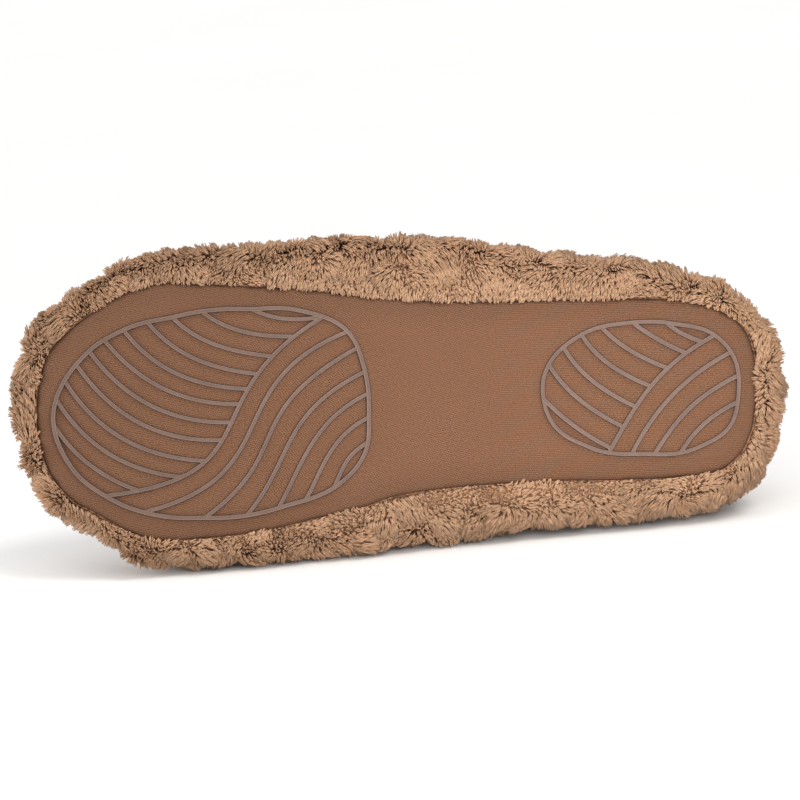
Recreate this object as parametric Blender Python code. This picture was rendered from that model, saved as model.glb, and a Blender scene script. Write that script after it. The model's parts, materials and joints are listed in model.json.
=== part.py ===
"""Ballerina slipper of teddy plush for the left foot, lying on its inner side.

The shoe is modelled upright in its own frame. X runs from the heel end of the sole to its toe,
Y points to the outer side, Z points up, and Z = 0 is the plane of the sole's underside.
The empty "lying_pose" then lays the shoe on its inner side, with the toe towards -X, the sole
facing -Y and the outer side up. All lengths are in metres and all angles in degrees.
"""
import math
import random

import bmesh
import bpy
import numpy as np
from mathutils import Matrix, Vector

# Sole
SOLE_LENGTH = 0.248
BALL_WIDTH = 0.0884
OUTSOLE_THICKNESS = 0.004
OUTSOLE_EDGE_ROUND = 0.002
INSOLE_THICKNESS = 0.0035
INSOLE_EDGE_ROUND = 0.001
TOE_SPRING = 0.010
ARCH_RISE = 0.0013
HEEL_ROLL = 0.001

# Upper
WALL = 0.007
SEAM_HEIGHT = 0.001
GIRTH_HEIGHT = 0.0105
PLUSH_ROLL = 0.0219
HEEL_HEIGHT = 0.058
SIDE_HEIGHT = 0.0445
THROAT_HEIGHT = 0.050
TOPLINE_WIDTH = 0.088
TOPLINE_SHIFT = 0.0015
HEEL_LEAN = 0.003
VAMP_LENGTH = 0.086
LOCK_RISE = 0.0013
LOCK_LEAN = 0.0008
LOCK_PITCH = 0.0042
REST_PRESS = 0.002
REST_FILL = 0.001

# Grips under the sole
GRIP_HEIGHT = 0.001
GRIP_STEP = 0.00003
FOREFOOT_RIM_WIDTH = 0.0016
FOREFOOT_RIB_WIDTH = 0.0015
HEEL_RIM_WIDTH = 0.0017
HEEL_RIB_WIDTH = 0.0018

# Gap between pieces that meet
CLEARANCE = 0.0003

# Shares of the sole's length where its underside leaves the flat
HEEL_ROLL_END = 0.07
ARCH_START = 0.30
ARCH_END = 0.54
SPRING_START = 0.64

# Columns of faces round the shoe, and rows of faces over the upper
INNER_COLUMNS = 72
OUTER_COLUMNS = 2 * INNER_COLUMNS
LOWER_ROWS = 4
UPPER_ROWS = 10
LINING_ROWS = 8
RIM_ANGLES = (60.0, 120.0)
SPAN_STEPS = 16
LOCK_SEED = 11

# Height of a lock's trough, of the slope between locks and of those at the seam, as shares of a crest
LOCK_TROUGH = 0.8
LOCK_SLOPE = 0.25
LOCK_SEAM = 0.5

# Outline of the sole: place along it as a share of SOLE_LENGTH, and the half widths towards the
# outer and the inner side as shares of BALL_WIDTH
SOLE_ENDS = {"heel": (0.000, 0.030), "toe": (1.000, -0.030)}
SOLE_SECTIONS = (
    # along, outer, inner
    (0.0125, 0.217, 0.183),
    (0.047, 0.303, 0.301),
    (0.10, 0.350, 0.332),
    (0.18, 0.365, 0.339),
    (0.30, 0.367, 0.336),
    (0.41, 0.372, 0.348),
    (0.50, 0.390, 0.374),
    (0.55, 0.407, 0.416),
    (0.62, 0.437, 0.457),
    (0.70, 0.455, 0.501),
    (0.80, 0.477, 0.5225),
    (0.84, 0.467, 0.518),
    (0.88, 0.435, 0.475),
    (0.925, 0.357, 0.400),
    (0.95, 0.305, 0.363),
    (0.978, 0.230, 0.274),
    (0.994, 0.120, 0.170),
)

# How far the plush stands out past the sole's edge: place as a share of SOLE_LENGTH, and the
# reach on the outer and the inner side as shares of PLUSH_ROLL
ROLL_SECTIONS = (
    # along, outer, inner
    (0.000, 0.390, 0.390),
    (0.020, 0.300, 0.410),
    (0.060, 0.380, 0.500),
    (0.130, 0.500, 0.570),
    (0.240, 0.685, 0.700),
    (0.350, 0.900, 0.770),
    (0.460, 1.000, 0.845),
    (0.570, 0.895, 0.700),
    (0.680, 0.695, 0.540),
    (0.790, 0.540, 0.430),
    (0.900, 0.430, 0.340),
    (0.955, 0.430, 0.300),
    (0.985, 0.400, 0.280),
    (1.000, 0.340, 0.300),
)

# Outline of the collar: place as a share of the way from heel to throat, the half widths as shares
# of TOPLINE_WIDTH, and the rise from the sides to the heel's and to the throat's height
COLLAR_SECTIONS = (
    # along, outer, inner, heel rise, throat rise
    (0.000, 0.000, 0.000, 1.00, 0.00),
    (0.020, 0.170, 0.170, 0.97, 0.00),
    (0.075, 0.320, 0.315, 0.80, 0.00),
    (0.180, 0.440, 0.430, 0.42, 0.00),
    (0.330, 0.500, 0.490, 0.10, 0.00),
    (0.500, 0.515, 0.500, 0.00, 0.00),
    (0.680, 0.490, 0.485, 0.00, 0.15),
    (0.830, 0.410, 0.420, 0.00, 0.48),
    (0.930, 0.280, 0.290, 0.00, 0.80),
    (0.985, 0.130, 0.140, 0.00, 0.97),
    (1.000, 0.000, 0.000, 0.00, 1.00),
)

# Each grip: centre and reach along the sole as shares of SOLE_LENGTH, centre and reach across it
# as shares of BALL_WIDTH. Bearings are taken at the centre, from the toe towards the outer side.
FOREFOOT_GRIP = {
    "centre": (0.755, -0.035),
    "reach": (0.2194, 0.6154),
    # bearing, reach
    "rim": (
        (2, 0.999), (28, 0.87), (46, 0.759), (72, 0.649), (110, 0.691), (132, 0.852),
        (150, 1.002), (166, 1.006), (182, 0.995), (196, 1.001), (210, 0.923), (234, 0.737),
        (270, 0.653), (295, 0.704), (321, 0.827), (340, 0.943),
    ),
    # start and end bearing, start and end heading, start and end pull
    "spine": (141, -36.2, -29.3, -5.1, 0.56, 0.62),
    # rim bearing, share of the spine, bow, share by which the bow sits towards the rim
    "front_ribs": (
        (113.5, 0.000, 0.085, 0.15), (86.7, 0.117, 0.089, 0.20), (70.0, 0.217, 0.089, 0.24),
        (57.1, 0.293, 0.105, 0.15), (45.5, 0.353, 0.120, 0.09), (36.3, 0.410, 0.123, -0.01),
        (28.9, 0.478, 0.131, -0.01), (21.7, 0.544, 0.138, -0.04), (14.4, 0.634, 0.132, 0.03),
        (7.0, 0.732, 0.124, 0.01), (-10.1, 0.954, 0.160, -0.32),
    ),
    # start and end bearing, start and end heading, start and end pull
    "rear_ribs": (
        (150.8, -54.1, -19.9, -12.3, 0.52, 0.56), (157.5, -85.2, -27.2, -33.8, 0.60, 0.49),
        (166.4, -108.1, -24.7, -48.5, 0.51, 0.40), (174.3, -124.3, -24.4, -59.3, 0.43, 0.34),
        (183.0, -135.9, -23.1, -52.8, 0.44, 0.22), (191.8, -147.2, -31.4, -60.5, 0.52, 0.45),
    ),
}
HEEL_GRIP = {
    "centre": (0.163, 0.013),
    "reach": (0.1363, 0.3824),
    "rim": (
        (2, 0.984), (17, 0.951), (43, 0.81), (81, 0.674), (119, 0.737), (145, 0.919),
        (164, 0.999), (185, 0.995), (205, 0.98), (227, 0.832), (269, 0.659), (313, 0.783),
        (338, 0.942),
    ),
    "spine": (146, -62.2, -26.5, -58.8, 0.42, 0.36),
    "front_ribs": (
        (113.0, 0.085, 0.050, 0.10), (85.2, 0.210, 0.033, 0.17), (59.5, 0.357, 0.060, 0.20),
        (44.3, 0.511, 0.082, 0.23), (30.1, 0.669, 0.079, 0.18), (16.5, 0.816, 0.074, 0.19),
        (-4.3, 0.968, 0.045, 0.02),
    ),
    "rear_ribs": (
        (159.7, -81.1, -26.2, -62.0, 0.31, 0.41), (173.9, -100.6, -24.9, -56.1, 0.41, 0.40),
        (189.4, -120.5, -23.9, -57.4, 0.32, 0.40),
    ),
}
RIM_SEGMENTS = 60
SPINE_SEGMENTS = 14
RIB_SEGMENTS = 9

# Fullness of the upper between girth and collar: how far it rises upright before it turns in, what
# a steep side takes off that, and the reach and the fall with which it meets the collar
SKIN_LEAVE = 0.82
SKIN_LEAVE_FALL = 0.26
SKIN_REACH = 0.45
SKIN_ARRIVE = 0.22

# Foot of the lining below the girth: share of the way out from the sole's edge to the girth, and
# share of the way up to it from the outsole's upper face
LINING_FOOT = ((1.0, 1.0), (0.62, 0.42), (0.0, 0.0))

# Finishes: colour in 8-bit sRGB, roughness
FINISHES = {
    "plush": ((157, 120, 94), 0.95),
    "sole_textile": ((140, 104, 80), 0.90),
    "grip_print": ((140, 112, 100), 0.60),
    "footbed": ((176, 150, 124), 0.95),
}


def finish(name):
    """Material with the colour and roughness of one named finish."""
    colour, roughness = FINISHES[name]
    material = bpy.data.materials.new(name)
    material.use_nodes = True
    shader = material.node_tree.nodes["Principled BSDF"]
    linear = [((c / 255 + 0.055) / 1.055) ** 2.4 for c in colour]
    shader.inputs["Base Color"].default_value = (*linear, 1.0)
    shader.inputs["Roughness"].default_value = roughness
    shader.inputs["Metallic"].default_value = 0.0
    return material


def make_object(name, shape, material, parent):
    """Object of one sub-part from a bmesh, with its faces out and smooth."""
    bmesh.ops.recalc_face_normals(shape, faces=shape.faces)
    mesh = bpy.data.meshes.new(name)
    shape.to_mesh(mesh)
    shape.free()
    mesh.materials.append(material)
    mesh.shade_smooth()
    mesh.set_sharp_from_angle(angle=math.radians(35))
    piece = bpy.data.objects.new(name, mesh)
    bpy.context.scene.collection.objects.link(piece)
    piece.parent = parent
    return piece


def through(points, steps):
    """Smooth closed curve through points, with a number of steps on each span."""
    points = [np.array(point, dtype=float) for point in points]
    count = len(points)
    curve = []
    for k in range(count):
        before, start, end, after = (points[(k + n - 1) % count] for n in range(4))
        for step in range(steps):
            t = step / steps
            curve.append(0.5 * (2 * start + (end - before) * t
                                + (2 * before - 5 * start + 4 * end - after) * t ** 2
                                + (3 * start - before - 3 * end + after) * t ** 3))
    curve.append(curve[0])
    return np.array(curve)


def spread(curve, shares):
    """Points of a curve at the given shares of its length."""
    lengths = np.concatenate(([0.0], np.cumsum(np.linalg.norm(np.diff(curve, axis=0), axis=1))))
    places = np.array(shares) * lengths[-1]
    return np.column_stack([np.interp(places, lengths, curve[:, n]) for n in range(curve.shape[1])])


def smooth_read(rows, column, place):
    """Value of a table's column at a place in its first column, read along a smooth curve."""
    places = [row[0] for row in rows]
    values = [row[column] for row in rows]
    k = min(max(int(np.searchsorted(places, place)) - 1, 0), len(rows) - 2)
    width = places[k + 1] - places[k]
    t = min(max((place - places[k]) / width, 0.0), 1.0)

    def slope(n):
        low, high = max(n - 1, 0), min(n + 1, len(rows) - 1)
        return (values[high] - values[low]) / (places[high] - places[low])

    return (values[k] * (2 * t ** 3 - 3 * t ** 2 + 1) + values[k + 1] * (3 * t ** 2 - 2 * t ** 3)
            + width * slope(k) * (t ** 3 - 2 * t ** 2 + t)
            + width * slope(k + 1) * (t ** 3 - t ** 2))


def lift(x):
    """Height of the sole's underside over the plane that it stands on."""
    share = x / SOLE_LENGTH
    if share < HEEL_ROLL_END:
        return HEEL_ROLL * ((HEEL_ROLL_END - share) / HEEL_ROLL_END) ** 2
    if share > SPRING_START:
        return TOE_SPRING * ((share - SPRING_START) / (1 - SPRING_START)) ** 2
    if ARCH_START < share < ARCH_END:
        turn = math.pi * (share - ARCH_START) / (ARCH_END - ARCH_START)
        return ARCH_RISE * math.sin(turn) ** 2
    return 0.0


def two_sides(heel, outer, inner, toe, columns, pairing=None):
    """Ring of columns from the heel along the outer side to the toe, and back on the inner."""
    half = columns // 2
    shares = [n / half for n in range(half + 1)]
    if pairing:
        shares = [pairing(share) for share in shares]
    ring = through([heel, *outer, toe, *reversed(inner)], SPAN_STEPS)
    turn = SPAN_STEPS * (len(outer) + 1)
    first = spread(ring[:turn + 1], shares)
    second = spread(ring[turn:][::-1], shares)[::-1]
    return np.vstack([first[:-1], second[:-1]])


def sole_ring(columns):
    """Edge of the sole in plan, one point for each column."""
    def end(name):
        along, across = SOLE_ENDS[name]
        return (along * SOLE_LENGTH, across * BALL_WIDTH)

    outer = [(s * SOLE_LENGTH, wide * BALL_WIDTH) for s, wide, _ in SOLE_SECTIONS]
    inner = [(s * SOLE_LENGTH, -wide * BALL_WIDTH) for s, _, wide in SOLE_SECTIONS]
    return two_sides(end("heel"), outer, inner, end("toe"), columns)


def outward(ring):
    """Unit vectors that point out of a closed ring in plan, square to it."""
    along = np.roll(ring, -1, axis=0) - np.roll(ring, 1, axis=0)
    along = along[:, :2] / np.linalg.norm(along[:, :2], axis=1)[:, None]
    return np.column_stack([-along[:, 1], along[:, 0]])


def ring_vertices(shape, ring, height):
    """Vertices of a ring at one height over the sole's underside."""
    return [shape.verts.new((x, y, lift(x) + height)) for x, y in ring]


def join_rings(shape, low, high):
    """Band of faces between two rings of the same number of vertices."""
    count = len(low)
    for k in range(count):
        n = (k + 1) % count
        shape.faces.new((low[k], low[n], high[n], high[k]))


def close_ring(shape, ring):
    """Cover over a ring, in strips from its outer to its inner side."""
    count = len(ring)
    shape.faces.new((ring[0], ring[1], ring[-1]))
    for k in range(1, count // 2 - 1):
        shape.faces.new((ring[k], ring[k + 1], ring[count - k - 1], ring[count - k]))
    middle = count // 2
    shape.faces.new((ring[middle - 1], ring[middle], ring[middle + 1]))


def slab(name, levels, material, parent):
    """Flat piece of the sole's outline, from (inset, height) levels in order upwards."""
    shape = bmesh.new()
    edge = sole_ring(INNER_COLUMNS)
    away = outward(edge)
    rings = [ring_vertices(shape, edge - inset * away, height) for inset, height in levels]
    for low, high in zip(rings, rings[1:]):
        join_rings(shape, low, high)
    close_ring(shape, rings[0])
    close_ring(shape, rings[-1])
    return make_object(name, shape, material, parent)


def make_outsole(parent):
    """Outsole: a thin slab whose lower edge is rolled up in an arc."""
    levels = []
    for turn in (0, 30, 60, 90):
        angle = math.radians(turn)
        levels.append((OUTSOLE_EDGE_ROUND * (1 - math.sin(angle)),
                       OUTSOLE_EDGE_ROUND * (1 - math.cos(angle))))
    levels.append((0.0, OUTSOLE_THICKNESS))
    return slab("outsole", levels, finish("sole_textile"), parent)


def make_insole(parent):
    """Insole: a foam footbed that lies on the outsole, with its upper edge rounded."""
    base = OUTSOLE_THICKNESS + CLEARANCE
    top = base + INSOLE_THICKNESS
    levels = [(0.0, base)]
    for turn in (0, 45, 90):
        angle = math.radians(turn)
        levels.append((INSOLE_EDGE_ROUND * (1 - math.cos(angle)),
                       top - INSOLE_EDGE_ROUND * (1 - math.sin(angle))))
    return slab("insole", levels, finish("footbed"), parent)


def collar_ring(columns):
    """Outer edge of the collar, one point in space for each column."""
    throat = SOLE_LENGTH - VAMP_LENGTH

    def point(row, side):
        along, outer, inner, heel_rise, throat_rise = row
        half = outer if side > 0 else inner
        return (HEEL_LEAN + along * (throat - HEEL_LEAN),
                TOPLINE_SHIFT + side * half * TOPLINE_WIDTH,
                SIDE_HEIGHT + heel_rise * (HEEL_HEIGHT - SIDE_HEIGHT)
                + throat_rise * (THROAT_HEIGHT - SIDE_HEIGHT))

    def pairing(share):
        return share + 0.5 * math.sin(math.pi * share) / math.pi

    outer = [point(row, 1) for row in COLLAR_SECTIONS[1:-1]]
    inner = [point(row, -1) for row in COLLAR_SECTIONS[1:-1]]
    heel = point(COLLAR_SECTIONS[0], 1)
    toe = point(COLLAR_SECTIONS[-1], 1)
    return two_sides(heel, outer, inner, toe, columns, pairing)


def roll_at(edge, columns):
    """Reach of the plush past the sole's edge at each column."""
    half = columns // 2
    return [PLUSH_ROLL * smooth_read(ROLL_SECTIONS, 1 if k <= half else 2, x / SOLE_LENGTH)
            for k, (x, _) in enumerate(edge)]


def upper_skin(columns):
    """Smooth outer face of the upper, as rows from the seam to the collar, each a ring."""
    edge = sole_ring(columns)
    away = outward(edge)
    collar = collar_ring(columns)
    reach = roll_at(edge, columns)
    rows = np.zeros((LOWER_ROWS + UPPER_ROWS + 1, columns, 3))
    for k in range(columns):
        x, y = edge[k]
        base = lift(x)
        for row in range(LOWER_ROWS + 1):
            angle = 0.5 * math.pi * row / LOWER_ROWS
            out = CLEARANCE + (reach[k] - CLEARANCE) * math.sin(angle)
            height = GIRTH_HEIGHT - (GIRTH_HEIGHT - SEAM_HEIGHT) * math.cos(angle)
            rows[row, k] = (x + out * away[k][0], y + out * away[k][1], base + height)
        girth = rows[LOWER_ROWS, k].copy()
        span = collar[k] - girth
        flat = np.array((span[0], span[1], 0.0))
        rise = span[2]
        steep = rise / (rise + np.linalg.norm(flat))
        up = np.array((0.0, 0.0, 1.0))
        leave = girth + up * (SKIN_LEAVE - SKIN_LEAVE_FALL * steep) * rise
        arrive = collar[k] - SKIN_REACH * flat - up * SKIN_ARRIVE * steep * rise
        for row in range(1, UPPER_ROWS + 1):
            t = row / UPPER_ROWS
            rows[LOWER_ROWS + row, k] = ((1 - t) ** 3 * girth + 3 * (1 - t) ** 2 * t * leave
                                         + 3 * (1 - t) * t ** 2 * arrive + t ** 3 * collar[k])
    return rows


def skin_normals(rows):
    """Unit vectors that point out of the skin at each of its points."""
    round_shoe = np.roll(rows, -1, axis=1) - np.roll(rows, 1, axis=1)
    upwards = np.gradient(rows, axis=0)
    normals = np.cross(round_shoe, upwards)
    normals /= np.linalg.norm(normals, axis=2)[:, :, None]
    outside = np.mean(normals[LOWER_ROWS, :, :2] * outward(rows[LOWER_ROWS, :, :2]))
    return normals if outside > 0 else -normals


def lock_steps(rows, normals):
    """Moves that turn the smooth skin into staggered locks which lean down to the sole."""
    chance = random.Random(LOCK_SEED)
    gap = np.linalg.norm(np.roll(rows, -1, axis=1) - np.roll(rows, 1, axis=1), axis=2) / 2
    size = np.minimum(1.0, gap / LOCK_PITCH)
    nap = -np.gradient(rows, axis=0)
    nap /= np.linalg.norm(nap, axis=2)[:, :, None]
    steps = np.zeros(rows.shape)
    for row in range(1, len(rows)):
        for k in range(rows.shape[1]):
            vary = 0.5 + chance.random()
            crest = row % 2 == 1 and (k + row // 2) % 2 == 0
            trough = row % 2 == 1 and not crest
            rise = vary * (1.0 if crest else -LOCK_TROUGH if trough else LOCK_SLOPE)
            lean = vary if crest and row > 1 else 0.0
            steps[row, k] = size[row, k] * (LOCK_RISE * rise * normals[row, k]
                                            + LOCK_LEAN * lean * nap[row, k])
    steps[1] *= LOCK_SEAM
    return steps


def lining_rows(rows, normals):
    """Inner face of the upper, as rows from the collar down to the outsole's upper edge."""
    lining = [(rows[-1] - WALL * normals[-1])[::2]]
    for row in range(1, LINING_ROWS - 2):
        place = LOWER_ROWS + UPPER_ROWS * (1 - row / (LINING_ROWS - 2))
        low = int(place)
        share = place - low
        skin = (1 - share) * rows[low] + share * rows[low + 1]
        lining.append((skin - WALL * normals[low])[::2])
    edge = sole_ring(INNER_COLUMNS)
    away = outward(edge)
    base = np.array([lift(x) for x, _ in edge])
    girth = np.maximum(np.array(roll_at(edge, INNER_COLUMNS)) - WALL, CLEARANCE)
    for share, rise in LINING_FOOT:
        out = CLEARANCE + share * (girth - CLEARANCE)
        height = base + OUTSOLE_THICKNESS + rise * (GIRTH_HEIGHT - OUTSOLE_THICKNESS)
        lining.append(np.column_stack([edge + out[:, None] * away, height]))
    return lining


def make_upper(parent):
    """Upper: one hollow shell of plush, open at the collar and underneath."""
    shape = bmesh.new()
    rows = upper_skin(OUTER_COLUMNS)
    normals = skin_normals(rows)
    plush = list(rows + lock_steps(rows, normals))

    beyond = rows[-1] - rows[-2]
    beyond /= np.linalg.norm(beyond, axis=1)[:, None]
    for angle in RIM_ANGLES:
        turn = math.radians(angle)
        depth = 0.5 * WALL * (1 - math.cos(turn))
        height = 0.5 * WALL * math.sin(turn)
        plush.append(rows[-1] - depth * normals[-1] + height * beyond)

    lining = lining_rows(rows, normals)
    outside = [[shape.verts.new(point) for point in row] for row in plush]
    inside = [[shape.verts.new(point) for point in row] for row in lining]
    for low, high in zip(outside, outside[1:]):
        join_rings(shape, low, high)
    for low, high in zip(inside, inside[1:]):
        join_rings(shape, low, high)
    join_double(shape, outside[-1], inside[0])
    join_double(shape, outside[0], inside[-1])
    return make_object("upper", shape, finish("plush"), parent)


def join_double(shape, fine, coarse):
    """Band between a ring and one with half as many vertices."""
    for k in range(len(coarse)):
        n = (k + 1) % len(coarse)
        start, middle, end = fine[2 * k], fine[2 * k + 1], fine[(2 * k + 2) % len(fine)]
        shape.faces.new((start, middle, coarse[k]))
        shape.faces.new((middle, coarse[n], coarse[k]))
        shape.faces.new((middle, end, coarse[n]))


def rim_place(grip, bearing):
    """Point of a grip's rim in shares of its reach, at a bearing from its centre."""
    table = grip["rim"]
    rows = [(b - 360, r) for b, r in table[-3:]] + list(table) + [(b + 360, r) for b, r in table[:3]]
    reach = smooth_read(rows, 1, bearing % 360)
    angle = math.radians(bearing)
    return np.array((reach * math.cos(angle), reach * math.sin(angle)))


def bezier(start, end, headings, pulls, steps):
    """Curve between two points that leaves and arrives on the given headings."""
    length = np.linalg.norm(end - start)
    leave, arrive = (pull * length * np.array((math.cos(math.radians(h)), math.sin(math.radians(h))))
                     for h, pull in zip(headings, pulls))
    curve = []
    for step in range(steps + 1):
        t = step / steps
        curve.append((1 - t) ** 3 * start + 3 * (1 - t) ** 2 * t * (start + leave)
                     + 3 * (1 - t) * t ** 2 * (end - arrive) + t ** 3 * end)
    return np.array(curve)


def bowed(start, end, bow, lean, steps):
    """Arc between two points that bows towards the toe and the inner side, most near its start."""
    chord = end - start
    side = np.array((-chord[1], chord[0]))
    if side[0] - side[1] < 0:
        side = -side
    curve = []
    for step in range(steps + 1):
        t = step / steps
        rise = 4 * bow * t * (1 - t) * (1 + lean * (1 - 2 * t))
        curve.append(start + t * chord + rise * side)
    return np.array(curve)


def grip_paths(grip):
    """Paths of a grip's rim, spine and ribs, in shares of its reach."""
    def across(row, steps):
        """Curve from rim to rim of one row of a table."""
        start, end, *rest = row
        return bezier(rim_place(grip, start), rim_place(grip, end), rest[:2], rest[2:], steps)

    rim = np.array([rim_place(grip, 360 * k / RIM_SEGMENTS) for k in range(RIM_SEGMENTS)])
    spine = across(grip["spine"], SPINE_SEGMENTS)
    ribs = []
    for bearing, share, bow, lean in grip["front_ribs"]:
        foot = spread(spine, [share])[0]
        ribs.append(bowed(rim_place(grip, bearing), foot, bow, lean, RIB_SEGMENTS))
    ribs.extend(across(row, RIB_SEGMENTS) for row in grip["rear_ribs"])
    return rim, spine, ribs


def bar(path, width, low, high, closed=False):
    """Bar of rectangular section along a flat path, as an object of its own."""
    if closed:
        away = outward(path)
    else:
        along = np.gradient(path, axis=0)
        along /= np.linalg.norm(along, axis=1)[:, None]
        away = np.column_stack([-along[:, 1], along[:, 0]])
    left, right = path + 0.5 * width * away, path - 0.5 * width * away
    shape = bmesh.new()
    rings = [[shape.verts.new((*a, low)), shape.verts.new((*b, low)),
              shape.verts.new((*b, high)), shape.verts.new((*a, high))]
             for a, b in zip(left, right)]
    pairs = list(zip(rings, rings[1:]))
    if closed:
        pairs.append((rings[-1], rings[0]))
    else:
        shape.faces.new(rings[0])
        shape.faces.new(rings[-1])
    for near, far in pairs:
        join_rings(shape, near, far)
    bmesh.ops.recalc_face_normals(shape, faces=shape.faces)
    mesh = bpy.data.meshes.new("bar")
    shape.to_mesh(mesh)
    shape.free()
    return bpy.data.objects.new("bar", mesh)


def make_grip(name, grip, rim_width, rib_width, parent):
    """Grip: rim, spine and ribs united into one flat lattice, then bent to the sole."""
    centre = np.array(grip["centre"]) * (SOLE_LENGTH, BALL_WIDTH)
    scale = np.array(grip["reach"]) * (SOLE_LENGTH, BALL_WIDTH)
    rim, spine, ribs = grip_paths(grip)
    top, bottom = -CLEARANCE, -CLEARANCE - GRIP_HEIGHT
    whole = bar(centre + rim * scale, rim_width, bottom, top, closed=True)
    bpy.context.scene.collection.objects.link(whole)
    bars = bpy.data.collections.new(name + " bars")
    bpy.context.scene.collection.children.link(bars)
    bars.objects.link(bar(centre + spine * scale, rib_width,
                          bottom + GRIP_STEP, top - GRIP_STEP))
    for rib in ribs:
        bars.objects.link(bar(centre + rib * scale, rib_width,
                              bottom + 2 * GRIP_STEP, top - 2 * GRIP_STEP))
    union = whole.modifiers.new("union", "BOOLEAN")
    union.operation = "UNION"
    union.operand_type = "COLLECTION"
    union.collection = bars
    union.solver = "EXACT"

    bpy.context.view_layer.update()
    shape = bmesh.new()
    shape.from_object(whole, bpy.context.evaluated_depsgraph_get())
    bmesh.ops.triangulate(shape, faces=shape.faces)
    for vertex in shape.verts:
        vertex.co.z += lift(vertex.co.x)
    for item in (*bars.objects, whole):
        bpy.data.objects.remove(item, do_unlink=True)
    bpy.data.collections.remove(bars)
    return make_object(name, shape, finish("grip_print"), parent)


# Cosine of the turn below which the shoe, rolling from facet to facet, has come to rest
SETTLED = 1 - 1e-6


def rest_normal(pieces):
    """Direction, in the shoe's frame, that points down when it lies still on its inner side."""
    hull = bmesh.new()
    weight = 0.0
    centre = Vector()
    for piece in pieces:
        for vertex in piece.data.vertices:
            hull.verts.new(vertex.co)
        for face in piece.data.polygons:
            corners = [piece.data.vertices[n].co for n in face.vertices]
            for second, third in zip(corners[1:], corners[2:]):
                volume = corners[0].dot(second.cross(third)) / 6
                weight += volume
                centre += volume * (corners[0] + second + third) / 4
    centre /= weight
    found = bmesh.ops.convex_hull(hull, input=hull.verts)
    spare = {item for item in found["geom_interior"] if isinstance(item, bmesh.types.BMVert)}
    bmesh.ops.delete(hull, geom=list(spare), context="VERTS")
    bmesh.ops.recalc_face_normals(hull, faces=hull.faces)
    hull.normal_update()
    facets = [(face.normal.copy(), face.verts[0].co.copy()) for face in hull.faces]
    hull.free()

    down = Vector((0.0, -1.0, 0.0))
    for _ in range(len(facets)):
        reached = None
        for normal, corner in facets:
            towards = normal.dot(down)
            if towards > 0:
                distance = normal.dot(corner - centre) / towards
                if reached is None or distance < reached[0]:
                    reached = (distance, normal)
        settled = reached[1].dot(down) > SETTLED
        down = reached[1]
        if settled:
            break
    return down


def lay_down(pieces, upper, pose):
    """Lay the shoe on its inner side and press its plush flat where it meets the floor."""
    down = rest_normal(pieces)
    floor = max(down.dot(vertex.co) for piece in pieces for vertex in piece.data.vertices)
    floor -= REST_PRESS
    for vertex in upper.data.vertices:
        depth = down.dot(vertex.co) - floor
        if depth > -REST_FILL:
            vertex.co -= depth * down
    toe = Vector((1.0, 0.0, 0.0))
    toe = (toe - toe.dot(down) * down).normalized()
    axis_x, axis_z = -toe, -down
    axis_y = axis_z.cross(axis_x)
    turn = Matrix((axis_x, axis_y, axis_z))
    corners = [turn @ vertex.co for piece in pieces for vertex in piece.data.vertices]
    low = Vector(min(corner[n] for corner in corners) for n in range(3))
    high = Vector(max(corner[n] for corner in corners) for n in range(3))
    place = Vector((-(low.x + high.x) / 2, -(low.y + high.y) / 2, -low.z))
    pose.matrix_world = Matrix.Translation(place) @ turn.to_4x4()


def main():
    """Build the shoe's five pieces and lay them down."""
    for item in list(bpy.data.objects):
        bpy.data.objects.remove(item, do_unlink=True)
    pose = bpy.data.objects.new("lying_pose", None)
    bpy.context.scene.collection.objects.link(pose)
    upper = make_upper(pose)
    pieces = [
        upper,
        make_outsole(pose),
        make_insole(pose),
        make_grip("forefoot_grip", FOREFOOT_GRIP, FOREFOOT_RIM_WIDTH, FOREFOOT_RIB_WIDTH, pose),
        make_grip("heel_grip", HEEL_GRIP, HEEL_RIM_WIDTH, HEEL_RIB_WIDTH, pose),
    ]
    lay_down(pieces, upper, pose)
    bpy.context.view_layer.update()


main()
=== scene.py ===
"""Looks of a plush ballerina slipper for the left foot, which lies on its inner side.

The shoe is shaped upright in its own frame: along the sole from heel to toe, across it to the outer
side, and up from the sole's underside. LyingPose then takes every point to the row frame.
All lengths are in metres, all angles in degrees and all colours in 8-bit sRGB.
"""
import json
import logging
import math
from dataclasses import dataclass
from enum import Enum

import bmesh
import bpy
import numpy as np
from mathutils import Matrix, Vector
from mathutils.kdtree import KDTree


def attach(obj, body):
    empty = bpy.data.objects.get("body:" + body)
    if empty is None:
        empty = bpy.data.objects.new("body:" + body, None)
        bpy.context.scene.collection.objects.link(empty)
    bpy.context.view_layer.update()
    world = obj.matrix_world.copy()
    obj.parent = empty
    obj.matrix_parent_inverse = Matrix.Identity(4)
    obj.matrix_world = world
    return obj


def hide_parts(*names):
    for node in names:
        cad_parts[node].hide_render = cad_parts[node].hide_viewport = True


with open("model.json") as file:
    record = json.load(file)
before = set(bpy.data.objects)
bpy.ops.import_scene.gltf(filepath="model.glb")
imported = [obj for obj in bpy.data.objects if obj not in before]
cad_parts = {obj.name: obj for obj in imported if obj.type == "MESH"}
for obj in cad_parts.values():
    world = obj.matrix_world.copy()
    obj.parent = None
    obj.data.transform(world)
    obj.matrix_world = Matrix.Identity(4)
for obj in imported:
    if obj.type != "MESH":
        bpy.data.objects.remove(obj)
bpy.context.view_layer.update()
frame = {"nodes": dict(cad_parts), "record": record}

LOG = logging.getLogger("slipper")
BODY = "root"
# least length that a vector is divided by
NO_LENGTH = 1e-12
# square of a distance that no lock reaches
OUT_OF_REACH = 1.0
SQUARE_MILLIMETRES = 1e6

Colour = tuple[int, int, int]
Table = tuple[tuple[float, ...], ...]


class Slot(Enum):
    """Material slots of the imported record."""

    PLUSH = "plush"
    SOLE = "sole_textile"
    GRIP = "grip_print"
    FOOTBED = "footbed"


# Curves and meshes


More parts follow.
